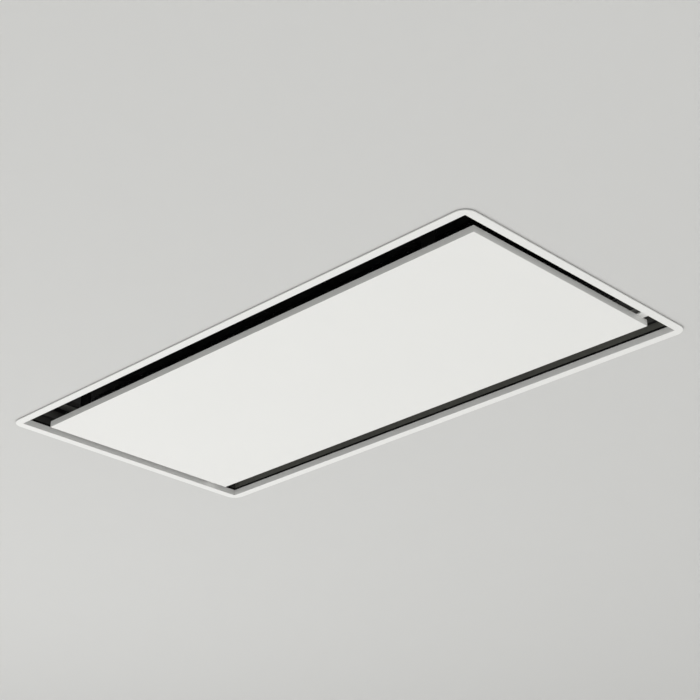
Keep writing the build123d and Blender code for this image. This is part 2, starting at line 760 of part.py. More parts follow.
# Catches: two steel plates on the panel, and two magnets under brackets on the front rail.
catch_xs = (-catch_spacing / 2, catch_spacing / 2)
with BuildPart() as strike_plates:
    for x in catch_xs:
        block((x - strike_length / 2, x + strike_length / 2),
              (catch_y - strike_width / 2, catch_y + strike_width / 2), (panel_height, strike_top))
finish(strike_plates, "strike_plates")
with BuildPart() as catch_brackets:
    ledge_under = front_ledge_top - rail_sheet
    for x in catch_xs:
        across = (x - catch_width / 2, x + catch_width / 2)
        block(across, (-(front_web_y + rail_sheet), -catch_leg_y), (ledge_under - catch_sheet, ledge_under))
        block(across, (-catch_leg_y - catch_sheet, -catch_leg_y), (catch_pad_bottom, ledge_under))
        block(across, (-catch_leg_y - catch_sheet, catch_y + magnet_radius + catch_sheet),
              (catch_pad_bottom, catch_pad_bottom + catch_sheet))
finish(catch_brackets, "catch_brackets")
with BuildPart() as catch_magnets:
    for x in catch_xs:
        rod((x, catch_y, magnet_bottom), "z", magnet_height, magnet_radius)
finish(catch_magnets, "catch_magnets")

# ---------------------------------------------------------------- blower


def volute(extra):
    """Outline of scroll and neck, drawn outside the air path by a wall thickness.

    The radius grows evenly with the angle, from the tongue under the neck's rear wall, round
    the bottom, to the neck's front wall.
    """
    neck = neck_width / 2 + extra
    first = degrees(acos((neck - fan_offset) / (tongue_radius + extra)))
    points = []
    for i in range(2 * volute_arcs + 1):
        angle = first - (first + 180) * i / (2 * volute_arcs)
        radius = tongue_radius + extra + (first - angle) / (first + 180) * volute_growth
        points.append((fan_offset + radius * cos(radians(angle)), fan_z + radius * sin(radians(angle))))
    with BuildSketch(Plane.YZ) as outline:
        with BuildLine():
            for i in range(0, 2 * volute_arcs, 2):
                ThreePointArc(*points[i : i + 3])
            Polyline(points[-1], (points[-1][0], cover_bottom), (neck, cover_bottom), points[0])
        make_face()
    return outline.sketch


def ring_points(radius, angles):
    """Places round the shaft, as (Y, Z), for angles in degrees from +Y towards +Z."""
    return [(fan_offset + radius * cos(radians(a)), fan_z + radius * sin(radians(a))) for a in angles]


lug_places = []
for a in lug_angles:
    grown = tongue_radius + (tongue_angle - a) / (tongue_angle + 180) * volute_growth
    lug_places += ring_points(grown + scroll_sheet + lug_radius - lug_sink, [a])
mount_places = ring_points(mount_circle_radius, mount_angles)
air_path = volute(0.0)
shell = volute(scroll_sheet)


def scroll_half(side, label):
    """Half of the plastic scroll, split across the shaft, with its inlet and half the neck's flange."""
    with BuildPart() as half:
        extrude(shell, amount=side * scroll_out)
        for y, z in lug_places:
            rod((min(0, side * lug_length), y, z), "x", lug_length, lug_radius)
        block((0, side * neck_flange / 2), (-neck_flange / 2, neck_flange / 2),
              (cover_bottom - neck_flange_sheet, cover_bottom))
        rod((min(0, side * rim_end), fan_offset, fan_z), "x", rim_end, inlet_radius + inlet_rim)
        extrude(air_path, amount=side * scroll_in, mode=Mode.SUBTRACT)
        rod((min(0, side * rim_end), fan_offset, fan_z), "x", rim_end, inlet_radius, Mode.SUBTRACT)
        for y, z in lug_places:
            rod((min(0, side * lug_length), y, z), "x", lug_length, screw_hole, Mode.SUBTRACT)
        for x, y in outlet_screws:
            if x * side > 0:
                rod((x, y, cover_bottom - neck_flange_sheet), "z", neck_flange_sheet, screw_hole,
                    Mode.SUBTRACT)
        if side < 0:
            for y, z in mount_places:
                rod((-scroll_out, y, z), "x", scroll_sheet, screw_hole, Mode.SUBTRACT)
    finish(half, label)


scroll_half(-1, "scroll_left")
scroll_half(1, "scroll_right")
screws([((lug_length, y, z), (1, 0, 0)) for y, z in lug_places], "scroll_screws", 2 * lug_length)

# The wheel: forward-curved blades set into a disc and held by a ring at each end.
with BuildSketch(Plane.XY) as blade:
    with BuildLine():
        for offset in (-blade_thickness / 2, blade_thickness / 2):
            ThreePointArc((blade_inner_radius, offset),
                          ((blade_inner_radius + blade_outer_radius) / 2, offset + blade_bow),
                          (blade_outer_radius, offset + blade_lead))
        for radius, rise in ((blade_inner_radius, 0.0), (blade_outer_radius, blade_lead)):
            Line((radius, rise - blade_thickness / 2), (radius, rise + blade_thickness / 2))
    make_face()
with BuildPart() as impeller_blades:
    with BuildSketch(fan_plane):
        with PolarLocations(0, blade_count):
            add(blade.sketch)
    extrude(amount=fan_half - impeller_ring, both=True)
finish(impeller_blades, "impeller_blades")
with BuildPart() as impeller_rings:
    for start in (-fan_half, fan_half - impeller_ring):
        rod((start, fan_offset, fan_z), "x", impeller_ring, impeller_radius)
        rod((start, fan_offset, fan_z), "x", impeller_ring, impeller_radius - impeller_ring_width,
            Mode.SUBTRACT)
finish(impeller_rings, "impeller_rings")
with BuildPart() as impeller_disc:
    with BuildSketch(fan_plane.offset(-disc_sheet / 2)):
        Circle(blade_inner_radius + disc_bite)
        with PolarLocations(0, blade_count):
            add(blade.sketch, mode=Mode.SUBTRACT)
    extrude(amount=disc_sheet)
    rod((-hub_half_length, fan_offset, fan_z), "x", 2 * hub_half_length, hub_radius)
    rod((-hub_half_length, fan_offset, fan_z), "x", 2 * hub_half_length, shaft_radius + fixed_gap,
        Mode.SUBTRACT)
finish(impeller_disc, "impeller_disc")

# The motor sits inside the left half of the wheel and hangs on a three-armed spider.
motor_end = hub_half_length + motor_gap
shaft_start = spider_in - shaft_inset
with BuildPart() as motor:
    rod((-spider_in, fan_offset, fan_z), "x", spider_in - motor_end, motor_radius)
    ends = motor.faces().filter_by(Axis.X)
    chamfer([edge for face in ends for edge in face.edges()], motor_chamfer)
    middle = (spider_in + motor_end) / 2
    rod((-middle - motor_rim_length / 2, fan_offset, fan_z), "x", motor_rim_length,
        motor_radius + motor_rim)
    rod((-shaft_start, fan_offset, fan_z), "x", shaft_start, shaft_radius + shaft_running_gap,
        Mode.SUBTRACT)
finish(motor, "motor")
nut_end = hub_half_length + nut_height
with BuildPart() as motor_shaft:
    rod((-shaft_start, fan_offset, fan_z), "x", shaft_start + nut_end + shaft_beyond_nut, shaft_radius)
finish(motor_shaft, "motor_shaft")
with BuildPart() as shaft_nut:
    with BuildSketch(fan_plane.offset(hub_half_length)):
        RegularPolygon(nut_width / 2, 6, major_radius=False)
        Circle(shaft_radius + fixed_gap, mode=Mode.SUBTRACT)
    extrude(amount=nut_height)
finish(shaft_nut, "shaft_nut")

with BuildPart() as motor_spider:
    with BuildSketch(fan_plane.offset(-spider_in)):
        Circle(spider_radius)
        for a in mount_angles:
            with Locations(Rotation(0, 0, a)):
                with Locations((mount_circle_radius / 2, 0)):
                    Rectangle(mount_circle_radius, spider_arm_width)
        with PolarLocations(mount_circle_radius, len(mount_angles), start_angle=mount_angles[0]):
            Circle(spider_arm_width / 2)
            Circle(screw_hole, mode=Mode.SUBTRACT)
        with PolarLocations(motor_screw_circle_radius, len(mount_angles), start_angle=mount_angles[0]):
            Circle(screw_hole, mode=Mode.SUBTRACT)
        Circle(spider_hole_radius, mode=Mode.SUBTRACT)
    extrude(amount=-spider_sheet)
finish(motor_spider, "motor_spider")
with BuildPart() as motor_mounts:
    for y, z in mount_places:
        rod((-spider_in, y, z), "x", spider_in - scroll_out, mount_radius)
        rod((-spider_in, y, z), "x", spider_in - scroll_out, screw_hole, Mode.SUBTRACT)
finish(motor_mounts, "motor_mounts")
spider_seats = [((-spider_in - spider_sheet, y, z), (-1, 0, 0)) for y, z in mount_places]
screws(spider_seats, "motor_screws", spider_sheet + spider_in - scroll_in)

# The run capacitor is clipped under the cover.
capacitor_z = cover_bottom - clip_sheet - capacitor_radius
with BuildPart() as capacitor:
    rod((capacitor_x - capacitor_length / 2, 0, capacitor_z), "x", capacitor_length, capacitor_radius)
    chamfer(capacitor.faces().sort_by(Axis.X)[0].edges(), clip_sheet)
    rod((capacitor_x + capacitor_length / 2, 0, capacitor_z), "x", terminal_stub, capacitor_radius / 2)
finish(capacitor, "capacitor")
with BuildPart() as capacitor_clip:
    start = (capacitor_x - clip_width / 2, 0, capacitor_z)
    rod(start, "x", clip_width, capacitor_radius + clip_sheet)
    block((capacitor_x - clip_width / 2, capacitor_x + clip_width / 2),
          (-capacitor_radius - clip_foot, capacitor_radius + clip_foot),
          (cover_bottom - clip_sheet, cover_bottom))
    rod(start, "x", clip_width, capacitor_radius + fixed_gap, Mode.SUBTRACT)
finish(capacitor_clip, "capacitor_clip")

# ---------------------------------------------------------------- air outlet

with BuildPart() as outlet_spigot:
    with BuildSketch(Plane.XY.offset(body_height)):
        RectangleRounded(spigot_base, spigot_base, spigot_base_corner_radius)
    extrude(amount=spigot_base_sheet)
    rod((0, 0, body_height), "z", spigot_height, duct_spigot_radius)
    rod((0, 0, body_height), "z", spigot_height, outlet_radius, Mode.SUBTRACT)
    with BuildSketch(Plane.XY.offset(ledge_top)):
        Circle(outlet_radius + spigot_sheet / 2)
        Circle(outlet_radius - flap_ledge, mode=Mode.SUBTRACT)
    extrude(amount=-flap_ledge_sheet)
    for side in (-1, 1):
        boss = (side * (outlet_radius - boss_length), side * (outlet_radius + spigot_sheet / 2))
        block(boss, (-boss_width / 2, boss_width / 2), (ledge_top - flap_ledge_sheet, boss_top))
    rod((-damper_pin_half - fixed_gap, 0, flap_axis_z), "x", 2 * (damper_pin_half + fixed_gap),
        flap_pin_radius + fixed_gap, Mode.SUBTRACT)
    for x, y in outlet_screws:
        rod((x, y, body_height), "z", spigot_base_sheet, screw_hole, Mode.SUBTRACT)
    chamfer(outlet_spigot.faces().sort_by(Axis.Z)[-1].outer_wire().edges(), spigot_sheet / 4)
finish(outlet_spigot, "outlet_spigot")
outlet_seats = [((x, y, base_top), (0, 0, 1)) for x, y in outlet_screws]
screws(outlet_seats, "outlet_screws", spigot_base_sheet + housing_sheet + neck_flange_sheet + screw_tip)

with BuildPart() as damper_pin:
    rod((-damper_pin_half, 0, flap_axis_z), "x", 2 * damper_pin_half, flap_pin_radius)
finish(damper_pin, "damper_pin")


def damper_flap(side, label):
    """A half-round flap that lies on the ledge and swings up about the pin in the blown air."""
    knuckle_xs = [side * flip * knuckle_x - knuckle_length / 2 for flip, knuckle_x in knuckle_places]
    flap_top = flap_bottom + flap_sheet
    with BuildPart() as flap:
        with BuildSketch(Plane.XY.offset(flap_bottom)):
            Circle(flap_outer_radius)
            with Locations((0, -side * flap_outer_radius / 2)):
                Rectangle(2 * flap_outer_radius, flap_outer_radius, mode=Mode.SUBTRACT)
            Rectangle(2 * flap_outer_radius, 2 * flap_edge, mode=Mode.SUBTRACT)
            with Locations((-outlet_radius, 0), (outlet_radius, 0)):
                Rectangle(2 * (boss_length + flap_gap), 2 * (boss_reach + flap_gap), mode=Mode.SUBTRACT)
        extrude(amount=flap_sheet)
        for x in knuckle_xs:
            block((x, x + knuckle_length), (0, side * (flap_edge + flap_sheet)), (flap_bottom, flap_top))
            rod((x, 0, flap_axis_z), "x", knuckle_length, knuckle_radius)
        for x in knuckle_xs:
            rod((x, 0, flap_axis_z), "x", knuckle_length, flap_pin_radius + hinge_running_gap,
                Mode.SUBTRACT)
    finish(flap, label)


damper_flap(-1, "damper_flap_front")
damper_flap(1, "damper_flap_rear")

# ---------------------------------------------------------------- controls

with BuildPart() as control_box:
    block((box_low_x, box_high_x), (-box_width / 2, box_width / 2), (box_bottom, cover_bottom))
    fillet(control_box.edges().filter_by(Axis.Z), box_corner_radius)
    room_y = box_width / 2 - box_wall
    block((box_low_x + box_wall, box_high_x - box_wall), (-room_y, room_y),
          (box_bottom, cover_bottom - box_wall), Mode.SUBTRACT)
    for x in (board_x - board_length / 2 + post_inset, board_x + board_length / 2 - post_inset):
        for y in (-board_width / 2 + post_inset, board_width / 2 - post_inset):
            rod((x, y, board_top), "z", board_lift, post_radius)
    rod((gland_x, 0, cover_bottom - box_wall), "z", box_wall, gland_thread_radius + fixed_gap, Mode.SUBTRACT)
    rod((box_high_x - box_wall, lead_y, lead_z), "x", box_wall, lead_radius + lead_gap, Mode.SUBTRACT)
finish(control_box, "control_box")
with BuildPart() as control_box_lid:
    block((box_low_x, box_high_x), (-box_width / 2, box_width / 2), (box_bottom - lid_sheet, box_bottom))
    fillet(control_box_lid.edges().filter_by(Axis.Z), box_corner_radius)
    rim_x = (box_low_x + box_wall + latch_clearance, box_high_x - box_wall - latch_clearance)
    rim_y = box_width / 2 - box_wall - latch_clearance
    block(rim_x, (-rim_y, rim_y), (box_bottom, box_bottom + lid_rim))
    block((rim_x[0] + box_wall, rim_x[1] - box_wall), (-rim_y + box_wall, rim_y - box_wall),
          (box_bottom, box_bottom + lid_rim), Mode.SUBTRACT)
finish(control_box_lid, "control_box_lid")
with BuildPart() as control_board:
    block((board_x - board_length / 2, board_x + board_length / 2), (-board_width / 2, board_width / 2),
          (board_top - board_sheet, board_top))
    board_bottom = board_top - board_sheet
    for x, y, length, width, height in board_parts:
        block((board_x + x - length / 2, board_x + x + length / 2), (y - width / 2, y + width / 2),
              (board_bottom - height, board_bottom))
finish(control_board, "control_board")
terminal_low_x = board_x - board_length / 2
with BuildPart() as terminal_block:
    block((terminal_low_x, terminal_low_x + terminal_length), (-terminal_width / 2, terminal_width / 2),
          (board_bottom - terminal_height, board_bottom))
    way = terminal_width / terminal_ways
    for i in range(terminal_ways):
        y = (i - (terminal_ways - 1) / 2) * way
        rod((terminal_low_x + terminal_length / 2, y, board_bottom - terminal_height), "z",
            terminal_height / 2, way / 4, Mode.SUBTRACT)
        rod((terminal_low_x, y, board_bottom - terminal_height / 3), "x", terminal_length / 3, way / 5,
            Mode.SUBTRACT)
finish(terminal_block, "terminal_block")

with BuildPart() as cable_gland:
    with BuildSketch(Plane.XY.offset(body_height)):
        with Locations((gland_x, 0)):
            RegularPolygon(gland_hex / 2, 6, major_radius=False)
    extrude(amount=gland_collar)
    rod((gland_x, 0, body_height), "z", gland_collar + gland_dome, gland_dome_radius)
    crown = cable_gland.faces().sort_by(Axis.Z)[-1]
    fillet(crown.edges(), gland_dome_radius - gland_bore_radius - gland_crown)
    gland_bottom = cover_bottom - box_wall - gland_inside
    rod((gland_x, 0, gland_bottom), "z", body_height - gland_bottom, gland_thread_radius)
    rod((gland_x, 0, gland_bottom), "z", body_height + gland_collar + gland_dome - gland_bottom,
        gland_bore_radius, Mode.SUBTRACT)
finish(cable_gland, "cable_gland")
with BuildPart() as gland_locknut:
    with BuildSketch(Plane.XY.offset(cover_bottom - box_wall)):
        with Locations((gland_x, 0)):
            RegularPolygon(gland_hex / 2, 6, major_radius=False)
            Circle(gland_thread_radius + fixed_gap, mode=Mode.SUBTRACT)
    extrude(amount=-gland_nut)
finish(gland_locknut, "gland_locknut")

# The motor's lead, from inside the box to the motor's end: three straight runs and two wide bends.
lead_points = [
    (box_high_x - lead_inside_box, lead_y, lead_z),
    (box_high_x - lead_inside_box + lead_run, lead_y, lead_z),
    (-spider_in - lead_last_run, fan_offset, fan_z),
    (-spider_in, fan_offset, fan_z),
]
lead_turn = Vector(1, 0, 0).get_angle(Vector(*lead_points[2]) - Vector(*lead_points[1]))
lead_bends = [0.45 * run / tan(radians(lead_turn / 2)) for run in (lead_run, lead_last_run)]
print("motor lead bends", [round(r, 1) for r in lead_bends], "turn", round(lead_turn, 1))
with BuildPart() as motor_lead:
    with BuildLine() as route:
        FilletPolyline(*lead_points, radius=lead_bends)
    with BuildSketch(Plane(origin=lead_points[0], z_dir=(1, 0, 0))):
        Circle(lead_radius)
    sweep()
tube_volume = pi * lead_radius**2 * sum(edge.length for edge in route.edges())
print("motor lead volume over section times length", round(motor_lead.part.volume / tube_volume, 4))
finish(motor_lead, "motor_lead")

# ---------------------------------------------------------------- hanging brackets

# Four Z-shaped brackets on the cover, each with a hole for a rod that hangs from the slab above.
with BuildPart() as hanging_brackets:
    for sx in (-1, 1):
        for sy in (-1, 1):
            hole_x = sx * hanger_spacing_x / 2
            riser_x = hole_x - sx * hanger_tab / 2
            y = sy * hanger_spacing_y / 2
            across = (y - hanger_width / 2, y + hanger_width / 2)
            tab_top = body_height + hanger_height
            block((riser_x, hole_x + sx * hanger_tab / 2), across, (tab_top - hanger_sheet, tab_top))
            block((riser_x, riser_x + sx * hanger_sheet), across, (body_height, tab_top))
            block((riser_x + sx * hanger_sheet, riser_x - sx * hanger_foot), across,
                  (body_height, body_height + hanger_sheet))
            rod((hole_x, y, tab_top - hanger_sheet), "z", hanger_sheet, hanger_hole_radius, Mode.SUBTRACT)
    for x, y in hanger_screws:
        rod((x, y, body_height), "z", hanger_sheet, screw_hole, Mode.SUBTRACT)
finish(hanging_brackets, "hanging_brackets")

# ---------------------------------------------------------------- sheet screws

# One kind of screw holds the cover on the walls, the brackets on the cover and the tray's skirt.
sheet_seats = [((x, y, body_height), (0, 0, 1)) for x, y in long_side_screws + short_side_screws]
sheet_seats += [((x, y, body_height + hanger_sheet), (0, 0, 1)) for x, y in hanger_screws]
for side in (-1, 1):
    sheet_seats += [((x, side * tray_in_y, tray_screw_height), (0, -side, 0)) for x in tray_screw_xs]
    sheet_seats += [((side * tray_in_x, y, tray_screw_height), (-side, 0, 0)) for y in tray_screw_ys]
screws(sheet_seats, "sheet_screws", screw_length)
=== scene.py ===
# %% [markdown]
# # A ceiling range hood, dressed in Blender
#
# The hood is a steel box hidden in the ceiling. From the room only a white frame and a white panel
# are seen, with a black suction slot all round the panel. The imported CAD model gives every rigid
# piece its exact place. This script adds what the CAD leaves plain: the paints and metals, the
# expanded metal in the grease filters, the screws with their cross recesses, the foam seal and the
# motor's lead. Everything is in metres, in the CAD's own frame: X along the hood, Y across it, Z up,
# and z = 0 is the face seen from the room.

# %% Load the frame
import math

import bmesh
import bpy
import numpy as np
from mathutils import Matrix, Vector


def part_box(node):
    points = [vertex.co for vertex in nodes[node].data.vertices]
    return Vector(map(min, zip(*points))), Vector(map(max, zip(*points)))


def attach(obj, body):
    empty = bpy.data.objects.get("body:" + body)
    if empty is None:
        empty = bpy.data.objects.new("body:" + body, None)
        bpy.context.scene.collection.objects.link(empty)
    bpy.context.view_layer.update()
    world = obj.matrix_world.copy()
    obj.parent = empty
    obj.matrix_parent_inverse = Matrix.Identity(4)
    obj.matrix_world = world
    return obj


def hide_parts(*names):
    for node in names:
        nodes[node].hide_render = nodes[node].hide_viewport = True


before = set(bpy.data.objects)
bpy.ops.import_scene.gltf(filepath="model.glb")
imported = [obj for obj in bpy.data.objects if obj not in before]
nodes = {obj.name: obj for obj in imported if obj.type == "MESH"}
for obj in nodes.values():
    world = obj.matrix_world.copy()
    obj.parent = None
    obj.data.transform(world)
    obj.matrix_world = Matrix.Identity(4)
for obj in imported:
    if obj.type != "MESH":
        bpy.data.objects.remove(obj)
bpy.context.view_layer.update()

MM = 0.001

# %% [markdown]
# ## The camera
#
# The photograph looks up at the hood from below and from its front right corner. Its eight frame
# corners fix the camera completely: where it stands, how long its lens is and how it is turned. A
# camera could be placed by eye with a Track To constraint, but a measured one has to land within a
# pixel, so its axes are worked out here from azimuth, elevation and a very small roll.

# %% Camera at the photograph's viewing angle
camera_place = (1.67899, -1.66283, -1.09050)
camera_azimuth, camera_elevation, camera_roll = 44.4966, 25.8090, 0.0559
focal_pixels, picture_pixels, sensor_width = 1657.31, 700, 36.0


def camera_axes(azimuth, elevation, roll):
    """Columns right, up and back of a camera that looks along an azimuth (0 is +Y, 90 is -X) and up
    by an elevation. Right is level, up completes the set, and roll turns both about the view."""
    a, e, r = (math.radians(angle) for angle in (azimuth, elevation, roll))
    forward = Vector((-math.sin(a) * math.cos(e), math.cos(a) * math.cos(e), math.sin(e)))
    level = forward.cross(Vector((0, 0, 1))).normalized()
    right = Matrix.Rotation(r, 3, forward) @ level
    up = right.cross(forward)
    return Matrix((right, up, -forward)).transposed()


camera_data = bpy.data.cameras.new("camera")
camera_data.sensor_width = sensor_width
camera_data.lens = focal_pixels / picture_pixels * sensor_width
camera = bpy.data.objects.new("camera", camera_data)
camera.matrix_world = (
    Matrix.Translation(camera_place)
    @ camera_axes(camera_azimuth, camera_elevation, camera_roll).to_4x4()
)
bpy.context.scene.collection.objects.link(camera)
bpy.context.scene.camera = camera
print("lens", round(camera_data.lens, 2), "mm")

# %% [markdown]
# ## A way to write materials
#
# Every finish below is a small node tree. Node trees can be wired by hand, one link at a time, but
# then the arithmetic in them is hard to read. Here a socket is wrapped so that Python's own + - * /
# add the Math nodes, and one method adds any other node from its type, settings and inputs.


# %% Sockets that add up, and a material to add them in
class Wire:
    """An output socket of a node. Arithmetic on it adds Math nodes to the material."""

    def __init__(self, paint, socket):
        self.paint, self.socket = paint, socket

    def math(self, operation, *values):
        return self.paint.node(
            "ShaderNodeMath", {"operation": operation}, dict(enumerate(values))
        )

    def __add__(self, other):
        return self.math("ADD", self, other)

    def __sub__(self, other):
        return self.math("SUBTRACT", self, other)

    def __rsub__(self, other):
        return self.math("SUBTRACT", other, self)

    def __mul__(self, other):
        return self.math("MULTIPLY", self, other)

    def __gt__(self, other):
        return self.math("GREATER_THAN", self, other)

    def __lt__(self, other):
        return self.math("LESS_THAN", self, other)

    __radd__, __rmul__ = __add__, __mul__


class Paint:
    """A material under construction, with its Principled shader as shader."""

    def __init__(self, name, **shader_values):
        self.material = bpy.data.materials.new(name)
        self.material.use_nodes = True
        self.tree = self.material.node_tree
        self.shader = self.tree.nodes["Principled BSDF"]
        for socket, value in shader_values.items():
            self.shader.inputs[socket.replace("_", " ")].default_value = value
        self.place = self.node("ShaderNodeTexCoord", out="Object")

    def node(self, kind, settings=None, inputs=None, out=0):
        """Add a node: its settings first (a ramp's stops among them), then its sockets."""
        node = self.tree.nodes.new(kind)
        for key, value in (settings or {}).items():
            if key == "stops":
                ramp = node.color_ramp
                while len(ramp.elements) < len(value):
                    ramp.elements.new(1.0)
                for element, (position, colour) in zip(ramp.elements, value):
                    element.position, element.color = position, (*colour, 1.0)
            else:
                setattr(node, key, value)
        for key, value in (inputs or {}).items():
            if isinstance(value, Wire):
                self.tree.links.new(value.socket, node.inputs[key])
            else:
                node.inputs[key].default_value = value
        return Wire(self, node.outputs[out])

    def feed(self, socket, wire):
        """Let a wire drive one socket of the shader."""
        self.tree.links.new(wire.socket, self.shader.inputs[socket])

    def stretched(self, x, y, z):
        """The piece's own coordinates, scaled along each axis so that a pattern stretches."""
        scale = {"Vector": self.place, "Scale": (x, y, z)}
        return self.node("ShaderNodeMapping", None, scale)

    def noise(self, scale, detail=2.0, at=None):
        """Smooth random values between 0 and 1, with scale features per metre."""
        inputs = {"Vector": at or self.place, "Scale": scale, "Detail": detail}
        return self.node("ShaderNodeTexNoise", None, inputs, out="Fac")

    def spread(self, wire, low, high):
        """A value from 0 to 1 moved to lie between low and high."""
        return wire * (high - low) + low

    def mix(self, factor, first, second):
        """A blend of two colours, or of a colour and a wire of colours."""
        inputs = {0: factor}
        for index, colour in ((6, first), (7, second)):
            inputs[index] = colour if isinstance(colour, Wire) else (*colour, 1.0)
        return self.node("ShaderNodeMix", {"data_type": "RGBA"}, inputs, out=2)

    def bump(self, height, distance, strength=1.0):
        """Relief of a given depth in metres for the shader's normal."""
        inputs = {"Height": height, "Distance": distance, "Strength": strength}
        self.feed("Normal", self.node("ShaderNodeBump", None, inputs))


def shade(colour, factor):
    """A colour made lighter or darker by one factor, and no channel over 1."""
    return tuple(min(1.0, channel * factor) for channel in colour)


print("materials that came with the CAD:", len(bpy.data.materials))

# %% [markdown]
# ## Powder coat
#
# Frame, panel and hinge arms are steel sheet with a white baked powder coat, and most pieces inside
# have a black one. It is satin, not glossy, and close up its skin has the low waves called orange
# peel, about a millimetre and a half across. A photograph of the paint could be wrapped round the
# pieces, but noise on the piece's own coordinates has no seams and no edge, so the relief goes
# evenly round every fold.


# %% An evenly baked powder coat
peel_per_metre, fine_peel_per_metre = 700.0, 2400.0  # waves of the orange peel


def powder_coat(name, colour, roughness, peel, variation=0.02, shine=0.45):
    """Baked powder: fine orange peel as relief, and a tone and gloss that drift a little."""
    paint = Paint(name, Specular_IOR_Level=shine)
    drift = paint.noise(6.0, 1.0)
    paint.feed(
        "Base Color",
        paint.mix(drift, shade(colour, 1 - variation), shade(colour, 1 + variation)),
    )
    grain = paint.noise(peel_per_metre)
    paint.feed("Roughness", paint.spread(grain, roughness - 0.06, roughness + 0.06))
    paint.bump(grain + paint.noise(fine_peel_per_metre, 1.0) * 0.25, peel)
    return paint.material


white_paint = powder_coat("white_paint", (0.80, 0.80, 0.785), 0.42, 0.00003, 0.008)
black_paint = powder_coat("black_paint", (0.014, 0.014, 0.013), 0.55, 0.00005, 0.1)
# The channel strips are all one black coat. The long ones are lifted to grey as painted light, and
# the end ones are kept darker as painted shade.
long_strips_lit_coat = powder_coat("long_strips_lit_coat", (0.125, 0.126, 0.112), 0.6, 0.00005, 0.1)
end_strips_shaded_coat = powder_coat("end_strips_shaded_coat", (0.034, 0.034, 0.032), 0.6, 0.00005, 0.1)
shadow_black = powder_coat("shadow_black", (0.004, 0.004, 0.004), 0.8, 0.00005, 0.1, shine=0.1)
motor_paint = powder_coat("motor_paint", (0.035, 0.038, 0.042), 0.35, 0.00006, 0.06)
print("materials with the powder coats:", len(bpy.data.materials))

# %% [markdown]
# ## The black of the filter tray
#
# The tray's skirts are what is seen deep in the slot. Their coat is black, and it is painted greyer
# in the band of the slots and just under the deck: painted light, for the light that reaches the
# skirts there. Painting it by hand would need an unwrapped mesh. A colour ramp that reads the height
# of each point does it with eight stops.


# %% A black powder coat with painted light that changes with height
tray_deck_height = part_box("filter_tray")[1].z
# The greys above black are painted light, lighter where light reaches the skirts.
painted_light_tray_greys = (  # share of the deck's height, grey there
    (0.0, 0.03),
    (0.44, 0.03),
    (0.46, 0.125),
    (0.66, 0.07),
    (0.80, 0.09),
    (0.95, 0.45),
    (0.975, 0.03),
    (1.0, 0.015),
)


def black_coat_with_painted_light(name):
    """Black powder with painted light: a grey that follows a ramp over height, with a slightly ragged
    edge.
    """
    paint = Paint(name, Specular_IOR_Level=0.4)
    grain = paint.noise(peel_per_metre)
    height = paint.node("ShaderNodeSeparateXYZ", None, {"Vector": paint.place}, out="Z")
    level = height * (1 / tray_deck_height) + (paint.noise(60.0) - 0.5) * 0.02
    stops = [(position, (grey, grey, 0.95 * grey)) for position, grey in painted_light_tray_greys]
    paint.feed("Base Color", paint.node("ShaderNodeValToRGB", {"stops": stops}, {"Fac": level}))
    paint.feed("Roughness", paint.spread(grain, 0.5, 0.62))
    paint.bump(grain, 0.00005)
    return paint.material


painted_light_tray_coat = black_coat_with_painted_light("painted_light_tray_coat")
print("the tray's deck is", round(tray_deck_height / MM, 1), "mm up")

# %% [markdown]
# ## Where the walls are lined, and where they are welded
#
# The housing's walls are bare zinc outside and coated black inside, below the filter tray. One CAD
# node holds both faces of a sheet, so the finish has to tell them apart by place: an inner face lies
# within the box between the walls' middles. The walls are also spot-welded to the black strips inside
# them, and each weld leaves a small round dent. A ping-pong of the coordinate along the wall is the
# distance to the nearest of evenly spaced spots, so one formula makes the whole row.


# %% Two masks for the finish of the walls
wall_sheet = 1.0 * MM
swage_height = 1.2 * MM
inner_half_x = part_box("wall_right")[1].x - swage_height - wall_sheet / 2
inner_half_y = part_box("wall_rear")[1].y - swage_height - wall_sheet / 2
weld_spacing, dent_foot, dent_rim = 60.0 * MM, 2.0 * MM, 3.2 * MM
weld_height = (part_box("channel_strips_long")[0].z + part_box("channel_strips_long")[1].z) / 2


def along_axes(paint):
    """The piece's own x, y and z as three wires."""
    place = paint.node("ShaderNodeSeparateXYZ", None, {"Vector": paint.place})
    return (Wire(paint, place.socket.node.outputs[axis]) for axis in "XYZ")


def inner_side(paint):
    """1 on the inner faces of the housing walls below the filter tray's deck, 0 elsewhere."""
    x, y, z = along_axes(paint)
    inner = (x.math("ABSOLUTE", x) < inner_half_x) * (y.math("ABSOLUTE", y) < inner_half_y)
    return inner * (z < tray_deck_height)


def weld_dents(paint):
    """1 in round dents, one every weld_spacing along each wall at the strips' height.

    Distance = square root of (ping-pong along the wall) squared + (height above the row) squared.
    """
    x, y, z = along_axes(paint)
    long_wall = y.math("ABSOLUTE", y) > inner_half_y
    along = x * long_wall + y * (1 - long_wall)
    nearest = along.math("PINGPONG", along, weld_spacing / 2)
    above = z - weld_height
    squared = nearest * nearest + above * above
    distance = squared.math("SQRT", squared)
    edge = {"Value": distance, "From Min": dent_foot, "From Max": dent_rim}
    return paint.node(
        "ShaderNodeMapRange",
        {"interpolation_type": "SMOOTHSTEP"},
        {**edge, "To Min": 1.0, "To Max": 0.0},
    )


print("weld dents every", round(weld_spacing / MM), "mm at", round(weld_height / MM, 2), "mm")

# %% [markdown]
# ## Galvanised sheet
#
# The housing is cut from zinc-coated steel. The zinc froze into flat crystals, the spangle, a few
# millimetres across, and each lies a little differently, so each has its own brightness and gloss.
# Voronoi cells are just such a field of random plates: one random value per cell drives tone and
# roughness together. Rolling the steel leaves faint long lines, which are a stretched noise.


# %% Zinc, bare or coated inside
spangle_per_metre, wobble_per_metre, wobble_reach = 150.0, 160.0, 4.0 * MM
dent_shade, dent_relief = 0.45, 15.0  # how far a dent darkens the zinc and presses it in


